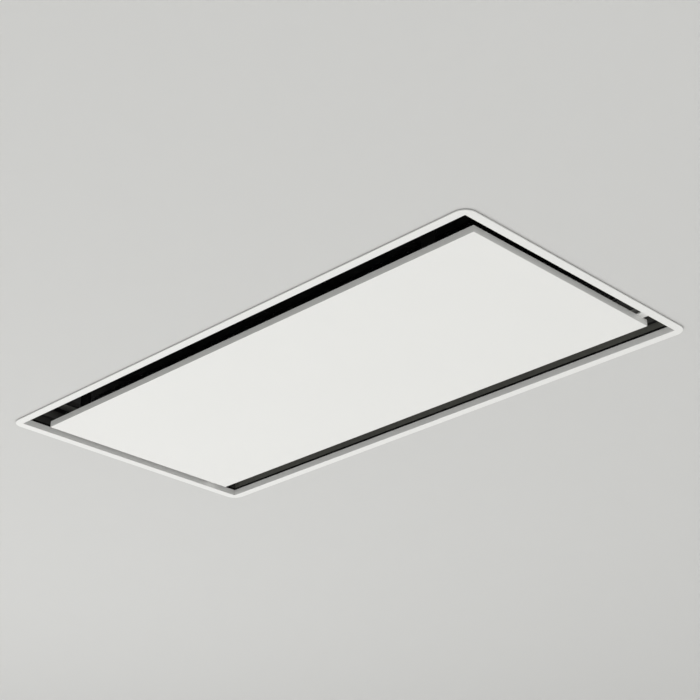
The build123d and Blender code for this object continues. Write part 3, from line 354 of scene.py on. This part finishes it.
def galvanised(name, masked=None, dents=None):
    """Spangled zinc: one random brightness per Voronoi cell, and fine rolling lines over it.

    Where masked(paint) is 1 it's coated black, and where dents(paint) is 1 it's pressed in.
    """
    paint = Paint(name, Metallic=0.9)
    at_wobble = {"Vector": paint.place, "Scale": wobble_per_metre}
    drift = paint.node("ShaderNodeTexNoise", None, at_wobble, out="Color")
    wobble = paint.node(
        "ShaderNodeVectorMath",
        {"operation": "MULTIPLY_ADD"},
        {0: drift, 1: (wobble_reach, wobble_reach, wobble_reach), 2: paint.place},
    )
    at_cells = {"Vector": wobble, "Scale": spangle_per_metre}
    cells = paint.node("ShaderNodeTexVoronoi", None, at_cells, out="Color")
    plate = paint.node("ShaderNodeSeparateColor", None, {"Color": cells})
    lines = paint.noise(1.0, 2.0, paint.stretched(12.0, 900.0, 900.0))
    clouds = paint.noise(9.0, 3.0)
    tone = plate * 0.55 + lines * 0.2 + clouds * 0.25
    metal = paint.mix(tone, (0.46, 0.475, 0.49), (0.68, 0.69, 0.70))
    gloss = paint.spread(plate * 0.5 + lines * 0.5, 0.4, 0.58)
    relief = lines + plate * 0.2
    if dents:
        dent = dents(paint)
        metal = paint.mix(dent * dent_shade, metal, (0.27, 0.265, 0.26))
        relief = relief - dent * dent_relief
    if masked:
        coated = masked(paint)
        paint.feed("Metallic", (1 - coated) * 0.9)
        metal = paint.mix(coated, metal, (0.01, 0.01, 0.01))
    paint.feed("Base Color", metal)
    paint.feed("Roughness", gloss)
    paint.bump(relief, 0.00001)
    return paint.material


zinc = galvanised("zinc_sheet")
lined_zinc = galvanised("wall_sheet", inner_side, weld_dents)
print("spangle about", round(1 / spangle_per_metre / MM, 1), "mm across")

# %% [markdown]
# ## Plated and anodised metal
#
# Screws and pins are plated bright. Wire drawing leaves fine lines along a piece, and handling leaves
# cloudy stains. The grease filters are dyed black and anodised, a skin so thin that the brushing of
# the aluminium under it still shows. Both are one noise, stretched along the way the tool went.


# %% Bright plate and anodised aluminium
def plated(name, colour, roughness, lay=(900.0, 900.0, 60.0)):
    """Bright plated steel: fine drawing lines along one axis and a few faint cloudy stains."""
    paint = Paint(name, Metallic=1.0)
    lines = paint.noise(1.0, 2.0, paint.stretched(*lay))
    stains = paint.noise(90.0, 3.0)
    paint.feed("Base Color", paint.mix(stains, shade(colour, 0.88), shade(colour, 1.06)))
    wear = lines * 0.6 + stains * 0.4
    paint.feed("Roughness", paint.spread(wear, roughness - 0.08, roughness + 0.1))
    paint.bump(lines, 0.000008)
    return paint.material


def anodised(name, colour, lay):
    """Dyed anodised aluminium: a dark satin skin with the brushing of the metal still in it."""
    paint = Paint(name, Metallic=0.85)
    lines = paint.noise(1.0, 2.0, paint.stretched(*lay))
    clouds = paint.noise(14.0, 2.0)
    dye = lines * 0.6 + clouds * 0.4
    paint.feed("Base Color", paint.mix(dye, shade(colour, 0.75), shade(colour, 1.3)))
    paint.feed("Roughness", paint.spread(lines, 0.36, 0.54))
    paint.bump(lines, 0.00001)
    return paint.material


bright_plate = plated("steel", (0.66, 0.67, 0.68), 0.3)
nickel = plated("magnet", (0.42, 0.41, 0.40), 0.22)
black_anodised = anodised("filter_frame_metal", (0.06, 0.06, 0.06), (1600.0, 14.0, 1600.0))
mesh_metal = anodised("filter_mesh_metal", (0.045, 0.045, 0.047), (500.0, 500.0, 500.0))
print("materials with the metals:", len(bpy.data.materials))

# %% [markdown]
# ## Plastics, rubber and the electric parts
#
# Moulded plastic takes its skin from a spark-eroded mould: an even, fine, sandy grain. Rubber is
# duller and a little blotchy. The circuit board is green lacquer over copper tracks. It is mounted
# upside down, and the parts that hang from it belong to the same CAD node, so height decides what is
# lacquer and what is part.


# %% Moulded, rubbery and lacquered finishes
board_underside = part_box("control_board")[1].z - 1.7 * MM  # its sheet is 1.6 mm thick


def moulded(name, colour, roughness, grain_depth=0.00002):
    """Moulded plastic: sandy grain as relief, and roughness and tone that follow the grain."""
    paint = Paint(name, Specular_IOR_Level=0.5)
    grain = paint.noise(2600.0, 1.0)
    flow = paint.noise(25.0, 2.0)
    tone = flow * 0.7 + grain * 0.3
    paint.feed("Base Color", paint.mix(tone, shade(colour, 0.9), shade(colour, 1.1)))
    paint.feed("Roughness", paint.spread(grain, roughness - 0.07, roughness + 0.07))
    paint.bump(grain, grain_depth)
    return paint.material


def circuit_board(name):
    """Green lacquer with paler copper tracks above the board's underside, dark parts below it."""
    paint = Paint(name)
    height = paint.node("ShaderNodeSeparateXYZ", None, {"Vector": paint.place}, out="Z")
    tracks = paint.node(
        "ShaderNodeTexBrick",
        {"offset": 0.37, "squash": 0.6, "squash_frequency": 3},
        {"Vector": paint.place, "Scale": 160.0, "Mortar Size": 0.09, "Mortar Smooth": 0.1},
        out="Fac",
    )
    lacquer = paint.mix(tracks, (0.012, 0.11, 0.045), (0.05, 0.26, 0.10))
    parts = paint.mix(paint.noise(60.0), (0.02, 0.02, 0.022), (0.05, 0.05, 0.055))
    paint.feed("Base Color", paint.mix(height > board_underside, parts, lacquer))
    paint.feed("Roughness", paint.spread(paint.noise(400.0), 0.25, 0.4))
    paint.bump(tracks, 0.00003)
    return paint.material


black_plastic = moulded("black_plastic", (0.022, 0.022, 0.023), 0.5)
grey_plastic = moulded("grey_plastic", (0.36, 0.37, 0.38), 0.45)
capacitor_can = moulded("capacitor_can", (0.74, 0.74, 0.70), 0.3, 0.000008)
cable_sheath = moulded("cable_sheath", (0.60, 0.60, 0.58), 0.5, 0.00001)
rubber = moulded("rubber", (0.02, 0.02, 0.02), 0.75, 0.00005)
board_lacquer = circuit_board("board")
print("materials with the plastics:", len(bpy.data.materials))

# %% [markdown]
# ## A finish for every CAD piece
#
# The CAD pieces keep their shapes. Each gets its finish by name, so that a piece without one is
# found at once.

# %% Dress the CAD nodes
finishes = {
    white_paint: "trim_frame panel_skin hinge_arm_left hinge_arm_right",
    long_strips_lit_coat: "channel_strips_long",
    end_strips_shaded_coat: "channel_strips_short",
    painted_light_tray_coat: "filter_tray",
    black_paint: "filter_rail_front filter_rail_rear hinge_brackets",
    shadow_black: "catch_brackets",
    lined_zinc: "wall_front wall_rear wall_left wall_right",
    zinc: "top_cover panel_cover panel_ribs "
    "hanging_brackets impeller_disc impeller_blades impeller_rings",
    black_anodised: "filter_frame_left filter_frame_middle filter_frame_right",
    mesh_metal: "filter_mesh_left filter_mesh_middle filter_mesh_right",
    bright_plate: "sheet_screws hinge_arm_screws hinge_pins bracket_rivets strike_plates "
    "scroll_screws motor_screws outlet_screws motor_shaft shaft_nut damper_pin motor_spider "
    "capacitor_clip",
    nickel: "catch_magnets",
    black_plastic: "filter_latch_left filter_latch_middle filter_latch_right scroll_left "
    "scroll_right outlet_spigot damper_flap_front damper_flap_rear cable_gland gland_locknut",
    grey_plastic: "control_box control_box_lid terminal_block",
    rubber: "motor_mounts",
    motor_paint: "motor",
    capacitor_can: "capacitor",
    board_lacquer: "control_board",
    cable_sheath: "motor_lead",
}
dressed = set()
for material, names in finishes.items():
    for name in names.split():
        for slot in nodes[name].material_slots:
            slot.material = material
        dressed.add(name)
print("without a finish:", sorted(set(nodes) - dressed))

# %% [markdown]
# ## Surfaces from arrays
#
# A new piece is a sheet of points: rows along one parameter, columns along the other, all worked out
# at once with numpy. Joining neighbours gives four-sided faces. The last column may close on the
# first one, as round a tube, and several equal sheets may go into one mesh. Where a whole row
# shrinks to one point, as in the middle of a screw's head, welding its points closes the surface. A
# closed surface has a volume, and if that comes out negative the faces look inwards and are turned.


# %% From arrays of points to a mesh
weld_distance = 0.0001 * MM


def sheet_faces(rows, columns, closed_rows=False, closed_columns=False):
    """Corner numbers of the quads of a grid of rows by columns points, row after row."""
    r = np.arange(rows if closed_rows else rows - 1)[:, None]
    c = np.arange(columns if closed_columns else columns - 1)[None, :]
    r2, c2 = (r + 1) % rows, (c + 1) % columns
    corners = (r * columns + c, r * columns + c2, r2 * columns + c2, r2 * columns + c)
    return np.stack(np.broadcast_arrays(*corners), axis=-1).reshape(-1, 4)


def repeated(points, faces):
    """Put copies of one shape into one list: points is copies by corners by 3."""
    copies, corners = points.shape[:2]
    shifts = np.arange(copies)[:, None, None] * corners
    return points.reshape(-1, 3), (faces[None] + shifts).reshape(-1, faces.shape[1])


def make_piece(name, points, faces, material, body, smooth=True):
    """A mesh object from arrays, in place, riding on a body and dressed."""
    mesh = bpy.data.meshes.new(name)
    mesh.from_pydata(points, [], faces.tolist())
    shell = bmesh.new()
    shell.from_mesh(mesh)
    bmesh.ops.remove_doubles(shell, verts=shell.verts, dist=weld_distance)
    volume = shell.calc_volume(signed=True)
    if volume < 0:
        bmesh.ops.reverse_faces(shell, faces=shell.faces)
    open_count = sum(edge.is_boundary for edge in shell.edges)
    shell.to_mesh(mesh)
    shell.free()
    mesh.polygons.foreach_set("use_smooth", np.full(len(mesh.polygons), smooth))
    mesh.materials.append(material)
    mesh.update()
    piece = bpy.data.objects.new(name, mesh)
    bpy.context.scene.collection.objects.link(piece)
    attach(piece, body)
    size = f"{len(mesh.polygons)} faces, {abs(volume) / MM**3:.0f} mm3"
    print(f"{name}: {size}, {open_count} open edges")
    return piece


# %% [markdown]
# ## The expanded metal in the filters
#
# A grease filter is a pack of expanded metal layers: a sheet is slit and pulled until the slits open
# into diamonds. Each strand runs in a zigzag, and its neighbour runs in the opposite one, so that
# they meet at every corner. It could be a texture with holes on a plate, but then it has no depth,
# and grease mesh is all depth. So each strand is a real bar, and the three layers differ in size.


# %% Layers of expanded metal
def expanded_layer(low, high, level, long_way, short_way, bar_width, bar_sheet):
    """Zigzag strands over the rectangle low to high, at one level.

    Along X a strand's middle moves in Y by a triangle wave between -1/4 and +1/4 of the short way,
    flattened at its peaks into knuckles. Strand after strand the wave changes sign, and the strand
    tips up where it meets the next one. The section is a flat bar.
    """
    knuckle, tip_up = 0.07, 0.45  # half a knuckle as a share of the wave, tilt in bar thicknesses
    row_step = short_way / 2
    row_count = int((high[1] - low[1] - bar_width) / row_step)
    start_y = (low[1] + high[1] - (row_count - 1) * row_step) / 2
    wave_count = int((high[0] - low[0]) / long_way)
    per_wave = np.array((0.0, knuckle, 0.5 - knuckle, 0.5 + knuckle, 1 - knuckle))
    steps = (np.arange(wave_count)[:, None] + per_wave[1:]).ravel()
    steps = np.concatenate(((0.0,), steps, (float(wave_count),)))
    x = (low[0] + high[0]) / 2 + (steps - wave_count / 2) * long_way
    triangle = 1 - 4 * np.abs((steps + 0.5) % 1.0 - 0.5)
    wave = np.clip(triangle / (1 - 4 * knuckle), -1, 1)
    sign = np.where(np.arange(row_count) % 2, -1.0, 1.0)[:, None]
    swing = (row_step - bar_width) / 2
    y = start_y + np.arange(row_count)[:, None] * row_step + sign * wave * swing
    z = level + sign * wave * bar_sheet * tip_up
    middle = np.stack(np.broadcast_arrays(x, y, z), axis=-1)
    section = np.array(((0, -1, -1), (0, 1, -1), (0, 1, 1), (0, -1, 1)))
    points = middle[:, :, None, :] + section * (0, bar_width / 2, bar_sheet / 2)
    last = 4 * (len(x) - 1)
    ends = ((3, 2, 1, 0), (last, last + 1, last + 2, last + 3))
    faces = np.concatenate((sheet_faces(len(x), 4, closed_columns=True), ends))
    return repeated(points.reshape(row_count, -1, 3), faces)


def joined(*parts):
    """Several (points, faces) as one."""
    counts = np.cumsum([0] + [len(points) for points, _ in parts[:-1]])
    return (
        np.concatenate([points for points, _ in parts]),
        np.concatenate([faces + first for (_, faces), first in zip(parts, counts)]),
    )


layer_plan = (  # level in the pack from its underside, long way, short way, bar width, bar sheet
    (0.8 * MM, 10.0 * MM, 6.0 * MM, 0.9 * MM, 0.5 * MM),
    (3.2 * MM, 16.0 * MM, 10.0 * MM, 1.3 * MM, 0.6 * MM),
    (5.6 * MM, 13.0 * MM, 8.0 * MM, 1.1 * MM, 0.5 * MM),
)
for side in ("left", "middle", "right"):
    low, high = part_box(f"filter_mesh_{side}")
    layers = [expanded_layer(low, high, low.z + level, *sizes) for level, *sizes in layer_plan]
    points, faces = joined(*layers)
    pack = make_piece(
        f"mesh_pack_{side}", points, faces, mesh_metal, "housing", False
    )
    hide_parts(f"filter_mesh_{side}")

# %% [markdown]
# ## Where the screws sit
#
# The CAD has every screw as a plain pan head on a plain shank, in its exact place. The shaped screws
# take their places from there, so no table of positions is kept here. In such a mesh each face of
# the CAD is a separate patch of triangles. The patch wanted is the side of a head: as deep as the
# head, as wide as the head, and widest where it meets the sheet.


# %% Read the seats from the CAD meshes
pan_head, rivet_head = (3.8 * MM, 2.0 * MM), (2.5 * MM, 0.6 * MM)  # radius and height


def patch_numbers(mesh):
    """For each vertex the lowest vertex number in its patch, passed on along the edges."""
    ends = np.empty(2 * len(mesh.edges), int)
    mesh.edges.foreach_get("vertices", ends)
    first, second = ends.reshape(-1, 2).T
    number = np.arange(len(mesh.vertices))
    while True:
        lower = np.minimum(number[first], number[second])
        passed = number.copy()
        np.minimum.at(passed, first, lower)
        np.minimum.at(passed, second, lower)
        if (passed == number).all():
            return number
        number = passed


def head_seats(node, head_radius, head):
    """Seat and facing of every screw head in a CAD node."""
    mesh = nodes[node].data
    points = np.empty(3 * len(mesh.vertices))
    mesh.vertices.foreach_get("co", points)
    points, number = points.reshape(-1, 3), patch_numbers(mesh)
    seats = []
    for patch in (points[number == n] for n in np.unique(number)):
        low, high = patch.min(axis=0), patch.max(axis=0)
        size, axis = high - low, (high - low).argmin()
        if abs(size[axis] - head) > 0.05 * head or abs(size.max() / 2 / head_radius - 1) > 0.02:
            continue
        middle = (low + high) / 2
        across = np.delete(patch - middle, axis, axis=1)
        wide = patch[np.hypot(*across.T).argmax(), axis]
        facing = np.zeros(3)
        facing[axis] = np.sign(middle[axis] - wide)
        seats.append((np.where(facing, wide, middle), facing))
    return seats


print("first seat of the sheet screws:", head_seats("sheet_screws", *pan_head)[0])

# %% [markdown]
# ## Screws with a cross recess
#
# The sheet screws have a low pan head with a cross recess, and a coarse thread. The head is a
# surface of revolution: the angle runs round it and the radius runs out over its top and down its
# side. The recess presses part of that same surface down: all of it near the middle, and four
# wings further out. The thread is a tube whose radius rises and falls along a helix.


# %% One screw and one rivet
def smooth_step(value, low, high):
    """0 below low, 1 above high, and between them t squared * (3 - 2 t), an even S."""
    t = np.clip((value - low) / (high - low), 0, 1)
    return t * t * (3 - 2 * t)


def screw_shape(head_radius, head, shank, thread_radius=2.0 * MM, pitch=1.4 * MM):
    """A screw along +Z with its seat at the origin.

    Head: height = top - dome * (r / R) squared - recess, where the recess is full inside the core
    and inside four wings of constant angle. Thread: radius = r - depth of the thread * (1 +
    cos(angle + 2 pi z / pitch)) / 2, tapering at the tip.
    """
    quarter = np.radians((-17, -13, 0, 13, 17, 31, 45, 59))
    angle = (np.arange(4)[:, None] * np.pi / 2 + quarter).ravel()
    core, wing, dome, depth = 0.17, 0.52, 0.22, 0.62  # shares of the head's radius and height
    rings = np.array((0.0, 0.9 * core, 1.2 * core, 0.46, 0.53, 0.7, 0.85, 0.93, 1.0, 1.0))
    r, a = np.meshgrid(rings, angle, indexing="ij")
    from_wing = np.abs((a + np.pi / 4) % (np.pi / 2) - np.pi / 4)
    in_wing = 1 - smooth_step(from_wing, *np.radians((13, 16)))
    in_wing = in_wing * (1 - smooth_step(r, 0.9 * wing, wing))
    recess = depth * np.maximum(in_wing, 1 - smooth_step(r, core, 1.15 * core))
    z = head * (1 - dome * r**2 - recess)
    z[-3:] = head * np.array((0.74, 0.45, 0.0))[:, None]
    r[-3] = 0.965
    cap = np.stack((head_radius * r * np.cos(a), head_radius * r * np.sin(a), z), axis=-1)
    along = np.linspace(0, -shank, max(8, int(shank / pitch * 4)))
    turn = np.linspace(0, 2 * np.pi, len(angle), endpoint=False)
    along, turn = np.meshgrid(along, turn, indexing="ij")
    ridge = (1 + np.cos(turn + 2 * np.pi * along / pitch)) / 2
    taper = 1 - 0.75 * smooth_step(-along, shank - 1.5 * MM, shank)
    thread_depth = 0.22 * thread_radius
    tube_radius = (thread_radius - thread_depth * ridge) * taper
    tube = np.stack((tube_radius * np.cos(turn), tube_radius * np.sin(turn), along), axis=-1)
    tip = tube[-1:] * (0.0, 0.0, 1.0)
    points = np.concatenate((cap, tube, tip))
    return points.reshape(-1, 3), sheet_faces(len(points), len(angle), closed_columns=True)


def rivet_shape(head_radius, head, shank, shank_radius=1.6 * MM):
    """A domed rivet along +Z with its seat at the origin.

    Head: height = top * (1 - 0.6 * (r / R) squared), then straight down to the seat.
    """
    rings = np.array((0.0, 0.3, 0.55, 0.75, 0.9, 1.0, 1.0))
    height = head * np.append(1 - 0.6 * rings[:-1] ** 2, 0.0)
    radius = np.concatenate((head_radius * rings, (shank_radius, shank_radius, 0.0)))
    height = np.concatenate((height, (0.0, -shank, -shank)))
    angle = np.linspace(0, 2 * np.pi, 24, endpoint=False)
    r, a = np.meshgrid(radius, angle, indexing="ij")
    z = np.broadcast_to(height[:, None], r.shape)
    points = np.stack((r * np.cos(a), r * np.sin(a), z), axis=-1)
    return points.reshape(-1, 3), sheet_faces(len(radius), len(angle), closed_columns=True)


print("points of one screw:", len(screw_shape(*pan_head, 6.0 * MM)[0]))

# %% [markdown]
# ## All the screws and rivets
#
# A worker leaves every cross recess at another angle, so each screw gets a turn of its own about its
# axis, from random numbers that are the same on every run. The copies could be linked objects, but
# one mesh for each CAD node keeps the list of pieces short. Each group takes its node's place.


# %% Groups of fasteners in the CAD's places
def fastener_group(node, body, shape, head_radius, head, shank):
    """Shaped fasteners in the places of a CAD node's, each turned by its own angle."""
    points, faces = shape(head_radius, head, shank)
    seats = head_seats(node, head_radius, head)
    turns = np.random.default_rng(len(seats)).uniform(0, np.pi / 2, len(seats))
    copies = []
    for (seat, facing), turn in zip(seats, turns):
        to_facing = Vector(facing).to_track_quat("Z", "Y").to_matrix()
        turned = to_facing @ Matrix.Rotation(turn, 3, "Z")
        copies.append(points @ np.array(turned).T + seat)
    print(node, "seats:", len(seats))
    all_points, all_faces = repeated(np.array(copies), faces)
    group = make_piece(f"{node}_shaped", all_points, all_faces, bright_plate, body)
    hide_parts(node)


fastener_group("sheet_screws", "housing", screw_shape, *pan_head, 6.0 * MM)
fastener_group("outlet_screws", "housing", screw_shape, *pan_head, 8.5 * MM)
fastener_group("motor_screws", "housing", screw_shape, *pan_head, 11.5 * MM)
fastener_group("scroll_screws", "housing", screw_shape, *pan_head, 16.0 * MM)
fastener_group("hinge_arm_screws", "panel", screw_shape, *pan_head, 6.0 * MM)
fastener_group("bracket_rivets", "housing", rivet_shape, *rivet_head, 2.5 * MM)

# %% [markdown]
# ## The foam seal over the lip
#
# Between the white lip and the black channel strip lies a thin bead of foam. In the photograph it is
# the blackest line along the far side of the slot, and its near-black is painted shade as well as the
# foam's own colour: it stands in for the shade in the gap above the lip. Its section is a low
# half-round, carried round the rectangle of the channel. A curve with a bevel could do it, but a mesh
# made from the section and the path keeps the corners square and its size exact. The foam's open pits
# are much too small to model, so they are a field of Voronoi distances, which are 0 in the middle of
# each cell.


# %% Foam, and a section carried round a rectangle
def foam(name, colour):
    """Closed-cell foam: a field of tiny open pits as relief, painted darker than the skin between
    them as painted shade.
    """
    paint = Paint(name, Roughness=0.95, Specular_IOR_Level=0.15)
    pits = paint.node(
        "ShaderNodeTexVoronoi", None, {"Vector": paint.place, "Scale": 1400.0}, out="Distance"
    )
    # The darker middles of the pits are painted shade.
    paint.feed("Base Color", paint.mix(pits, shade(colour, 0.4), shade(colour, 1.3)))
    paint.bump(pits, 0.0002)
    return paint.material


def carried_round(half_x, half_y, section):
    """Carry a section (depth into the room, height) round a rectangle with mitred corners.

    Each corner point is the rectangle's corner moved inwards by the depth along both axes.
    """
    corners = np.array(((1, 1), (-1, 1), (-1, -1), (1, -1)), float)
    depth, height = section.T
    x = corners[:, :1] * (half_x - depth)
    y = corners[:, 1:] * (half_y - depth)
    z = np.broadcast_to(height, x.shape)
    points = np.stack((x, y, z), axis=-1)
    faces = sheet_faces(4, len(section), closed_rows=True, closed_columns=True)
    return points.reshape(-1, 3), faces


shade_black_foam = foam("shade_black_foam", (0.006, 0.006, 0.006))
channel_half_x, channel_half_y = 486.15 * MM, 236.15 * MM
seal_foot, seal_height, seal_depth = 10.0 * MM, 4.3 * MM, 0.8 * MM
round_angle = np.linspace(-np.pi / 2, np.pi / 2, 9)
seal_z = seal_foot + seal_height * (1 + np.sin(round_angle)) / 2
seal_section = np.stack((seal_depth * np.cos(round_angle), seal_z), axis=-1)
seal_points, seal_faces = carried_round(channel_half_x, channel_half_y, seal_section[::-1])
# The seal's near-black is partly painted shade for the gap above the lip.
make_piece("lip_seal_and_shade", seal_points, seal_faces, shade_black_foam, "housing", False)

# %% [markdown]
# ## The motor's lead
#
# A sheathed lead runs from the control box through the motor's bracket to the motor. Both its ends
# are held, and it is short and stiff enough to stand in a gentle S. Its CAD solid is a tube on the
# same route. Here the route is the control points of a smooth curve, which gives the easy bends of
# a real lead.

# %% A smooth curve through the housing
lead_route = np.array((  # in millimetres, from inside the control box to the motor
    (-261.15, 22.0, 261.0),
    (-199.15, 22.0, 261.0),
    (-142.0, 50.0, 182.35),
    (-83.5, 50.0, 182.35),
))
lead_diameter = 7.0 * MM
lead_curve = bpy.data.curves.new("lead", "CURVE")
lead_curve.dimensions = "3D"
lead_curve.bevel_depth = lead_diameter / 2
lead_curve.bevel_resolution = 4
lead_curve.resolution_u = 24
lead_curve.use_fill_caps = True
run = lead_curve.splines.new("NURBS")
run.points.add(len(lead_route) - 1)
for point, place in zip(run.points, lead_route * MM):
    point.co = (*place, 1.0)
run.order_u = 3
run.use_endpoint_u = True
lead_curve.materials.append(cable_sheath)
lead = bpy.data.objects.new("lead", lead_curve)
bpy.context.scene.collection.objects.link(lead)
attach(lead, "housing")
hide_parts("motor_lead")
print("lead:", len(lead_route), "points,", round(lead_diameter / MM, 1), "mm thick")

# %% [markdown]
# ## Rubber where the lead goes through sheet metal
#
# A sheet's cut edge would wear through the sheath, so the lead has a rubber grommet where it leaves
# the control box, and a ribbed boot where it enters the motor's bracket, which also keeps it from
# bending sharply there. Both are turned shapes: a profile of places along the lead and radii, turned
# about the lead's own line. The Spin tool does the same to a profile that is drawn by hand.


# %% A grommet and a boot on the lead
def turned_about_lead(profile, end_point):
    """Turn a closed profile of (x, radius) about a line along X through a point of the lead.

    y = middle + radius cos(angle), z = middle + radius sin(angle).
    """
    angle = np.linspace(0, 2 * np.pi, 32, endpoint=False)
    x, radius = np.array(profile).T[:, :, None]
    y = end_point[1] + radius * np.cos(angle)
    z = end_point[2] + radius * np.sin(angle)
    points = np.stack(np.broadcast_arrays(x, y, z), axis=-1)
    faces = sheet_faces(*points.shape[:2], closed_rows=True, closed_columns=True)
    return points.reshape(-1, 3) * MM, faces


grommet_inside = ((-2.6, 3.4), (-2.6, 6.4), (-1.2, 6.4), (-1.1, 4.6), (0.0, 4.6))
grommet_outside = ((0.0, 7.0), (0.7, 7.5), (1.6, 7.4), (2.4, 6.6), (2.8, 5.2), (2.8, 3.4))
box_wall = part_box("control_box")[1].x / MM
grommet_profile = [(box_wall + x, radius) for x, radius in grommet_inside + grommet_outside]
points, faces = turned_about_lead(grommet_profile, lead_route[0])
make_piece("lead_grommet", points, faces, rubber, "housing")

# %% [markdown]
# ## The ribs of the boot
#
# The boot has four ribs, so that it can bend, and each is a little smaller than the one before. One
# rib's section is a list of five points, and a loop moves it along and shrinks it.

# %% A boot whose ribs get smaller away from the motor
rib_section = ((0.0, 0.7), (0.3, 0.1), (0.9, 0.0), (1.5, 0.1), (1.8, 0.7))  # along, below the crest
first_rib, rib_pitch, rib_radius, rib_fall = -3.4, 2.0, 5.4, 0.22
ribs = tuple(
    (first_rib - rib_pitch * rib - along, rib_radius - rib_fall * rib - below)
    for rib in range(4)
    for along, below in rib_section
)
boot_flange = ((0.0, 3.4), (0.0, 7.0), (-1.4, 7.2), (-2.2, 6.6), (-2.6, 5.2))
boot_end = ((-12.0, 4.4), (-12.2, 3.9), (-12.2, 3.4))
bracket_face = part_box("motor_spider")[0].x / MM
boot_profile = [(bracket_face + x, radius) for x, radius in boot_flange + ribs + boot_end]
points, faces = turned_about_lead(boot_profile, lead_route[-1])
make_piece("lead_boot", points, faces, rubber, "housing")

# %% [markdown]
# ## The room
#
# A ceiling hood belongs in a ceiling, and from below the ceiling hides the housing, so the stage is
# a pale ceiling with a cut-out that the frame's flange covers. Its back is see-through, so that the
# housing can be looked at from above. Far below lies a plain pale floor.


# %% Ceiling and floor
def stage_paint(name, colour):
    """A matt pale stage that is see-through from behind."""
    paint = Paint(name, Roughness=0.9, Specular_IOR_Level=0.1)
    paint.shader.inputs["Base Color"].default_value = (*colour, 1.0)
    clear = paint.node("ShaderNodeBsdfTransparent", out="BSDF")
    behind = paint.node("ShaderNodeNewGeometry", out="Backfacing")
    front = Wire(paint, paint.shader.outputs["BSDF"])
    shown = paint.node("ShaderNodeMixShader", None, {0: behind, 1: front, 2: clear})
    paint.tree.links.new(shown.socket, paint.tree.nodes["Material Output"].inputs["Surface"])
    return paint.material


def stage_mesh(name, points, faces, material):
    """A flat stage piece."""
    mesh = bpy.data.meshes.new(name)
    mesh.from_pydata(points, [], faces)
    mesh.materials.append(material)
    piece = bpy.data.objects.new(name, mesh)
    bpy.context.scene.collection.objects.link(piece)


def rectangle(half_x, half_y, z):
    """The four corners of a level rectangle about the Z axis, in turn."""
    return [(sx * half_x, sy * half_y, z) for sx, sy in ((1, 1), (-1, 1), (-1, -1), (1, -1))]


stage_half, floor_half, cutout = 8.0, 16.0, (0.4905, 0.2405)  # half sizes in metres
ceiling_height, floor_height = 2.8 * MM, -3.4
pale = stage_paint("pale_stage", (0.62, 0.62, 0.612))
ring = rectangle(*cutout, ceiling_height) + rectangle(stage_half, stage_half, ceiling_height)
ring_faces = [((i + 1) % 4, (i + 1) % 4 + 4, i + 4, i) for i in range(4)]
stage_mesh("ceiling", ring, ring_faces, pale)
stage_mesh("floor", rectangle(floor_half, floor_half, floor_height), [(0, 1, 2, 3)], pale)
print("ceiling at", round(ceiling_height / MM, 1), "mm, floor at", floor_height, "m")

# %% [markdown]
# ## Light
#
# In the photograph the light is almost even from below, as in a bright room. A lamp close to the
# hood would leave a hot spot on it, so one very wide lamp lights the floor, and the floor lights the
# hood. Two soft lamps add a little from the left and from the front right, and one lights the
# housing from above. A dim even sky fills the rest, and looks paler where the camera sees it.


# %% Lamps and sky
def soft_lamp(name, place, towards, size, watts):
    """A square area lamp that isn't itself seen by the camera."""
    data = bpy.data.lights.new(name, "AREA")
    data.shape, data.size, data.energy = "SQUARE", size, watts
    lamp = bpy.data.objects.new(name, data)
    lamp.location = place
    lamp.rotation_mode = "QUATERNION"
    lamp.rotation_quaternion = (Vector(towards) - Vector(place)).to_track_quat("-Z", "Y")
    lamp.visible_camera = False
    bpy.context.scene.collection.objects.link(lamp)


soft_lamp("lamp_floor", (0, 0, -1.2), (0, 0, floor_height), 30.0, 2330.0)
soft_lamp("lamp_below", (-1.5, -0.2, -2.4), (0, 0, 0), 2.4, 25.0)
soft_lamp("lamp_side", (2.8, -1.7, -1.5), (0, 0, 0), 1.8, 12.0)
soft_lamp("lamp_above", (0.8, -0.9, 2.8), (0, 0, 0.2), 2.6, 70.0)
sky_light, sky_seen = 0.4, 0.62
world = bpy.data.worlds.new("sky")
world.use_nodes = True
tree = world.node_tree
sky = tree.nodes["Background"]
sky.inputs["Color"].default_value = (1.0, 0.995, 0.985, 1.0)
rays = tree.nodes.new("ShaderNodeLightPath")
seen = rays.outputs["Is Camera Ray"]
for kind_of_ray in ("Is Glossy Ray", "Is Transmission Ray"):
    either = tree.nodes.new("ShaderNodeMath")
    either.operation = "MAXIMUM"
    tree.links.new(seen, either.inputs[0])
    tree.links.new(rays.outputs[kind_of_ray], either.inputs[1])
    seen = either.outputs["Value"]
strength = tree.nodes.new("ShaderNodeMapRange")
strength.inputs["To Min"].default_value = sky_light
strength.inputs["To Max"].default_value = sky_seen
tree.links.new(seen, strength.inputs["Value"])
tree.links.new(strength.outputs["Result"], sky.inputs["Strength"])
bpy.context.scene.world = world
print("lamps:", len(bpy.data.lights), "sky:", sky_light, "as light,", sky_seen, "as seen")
bpy.context.scene.view_settings.view_transform = "Standard"
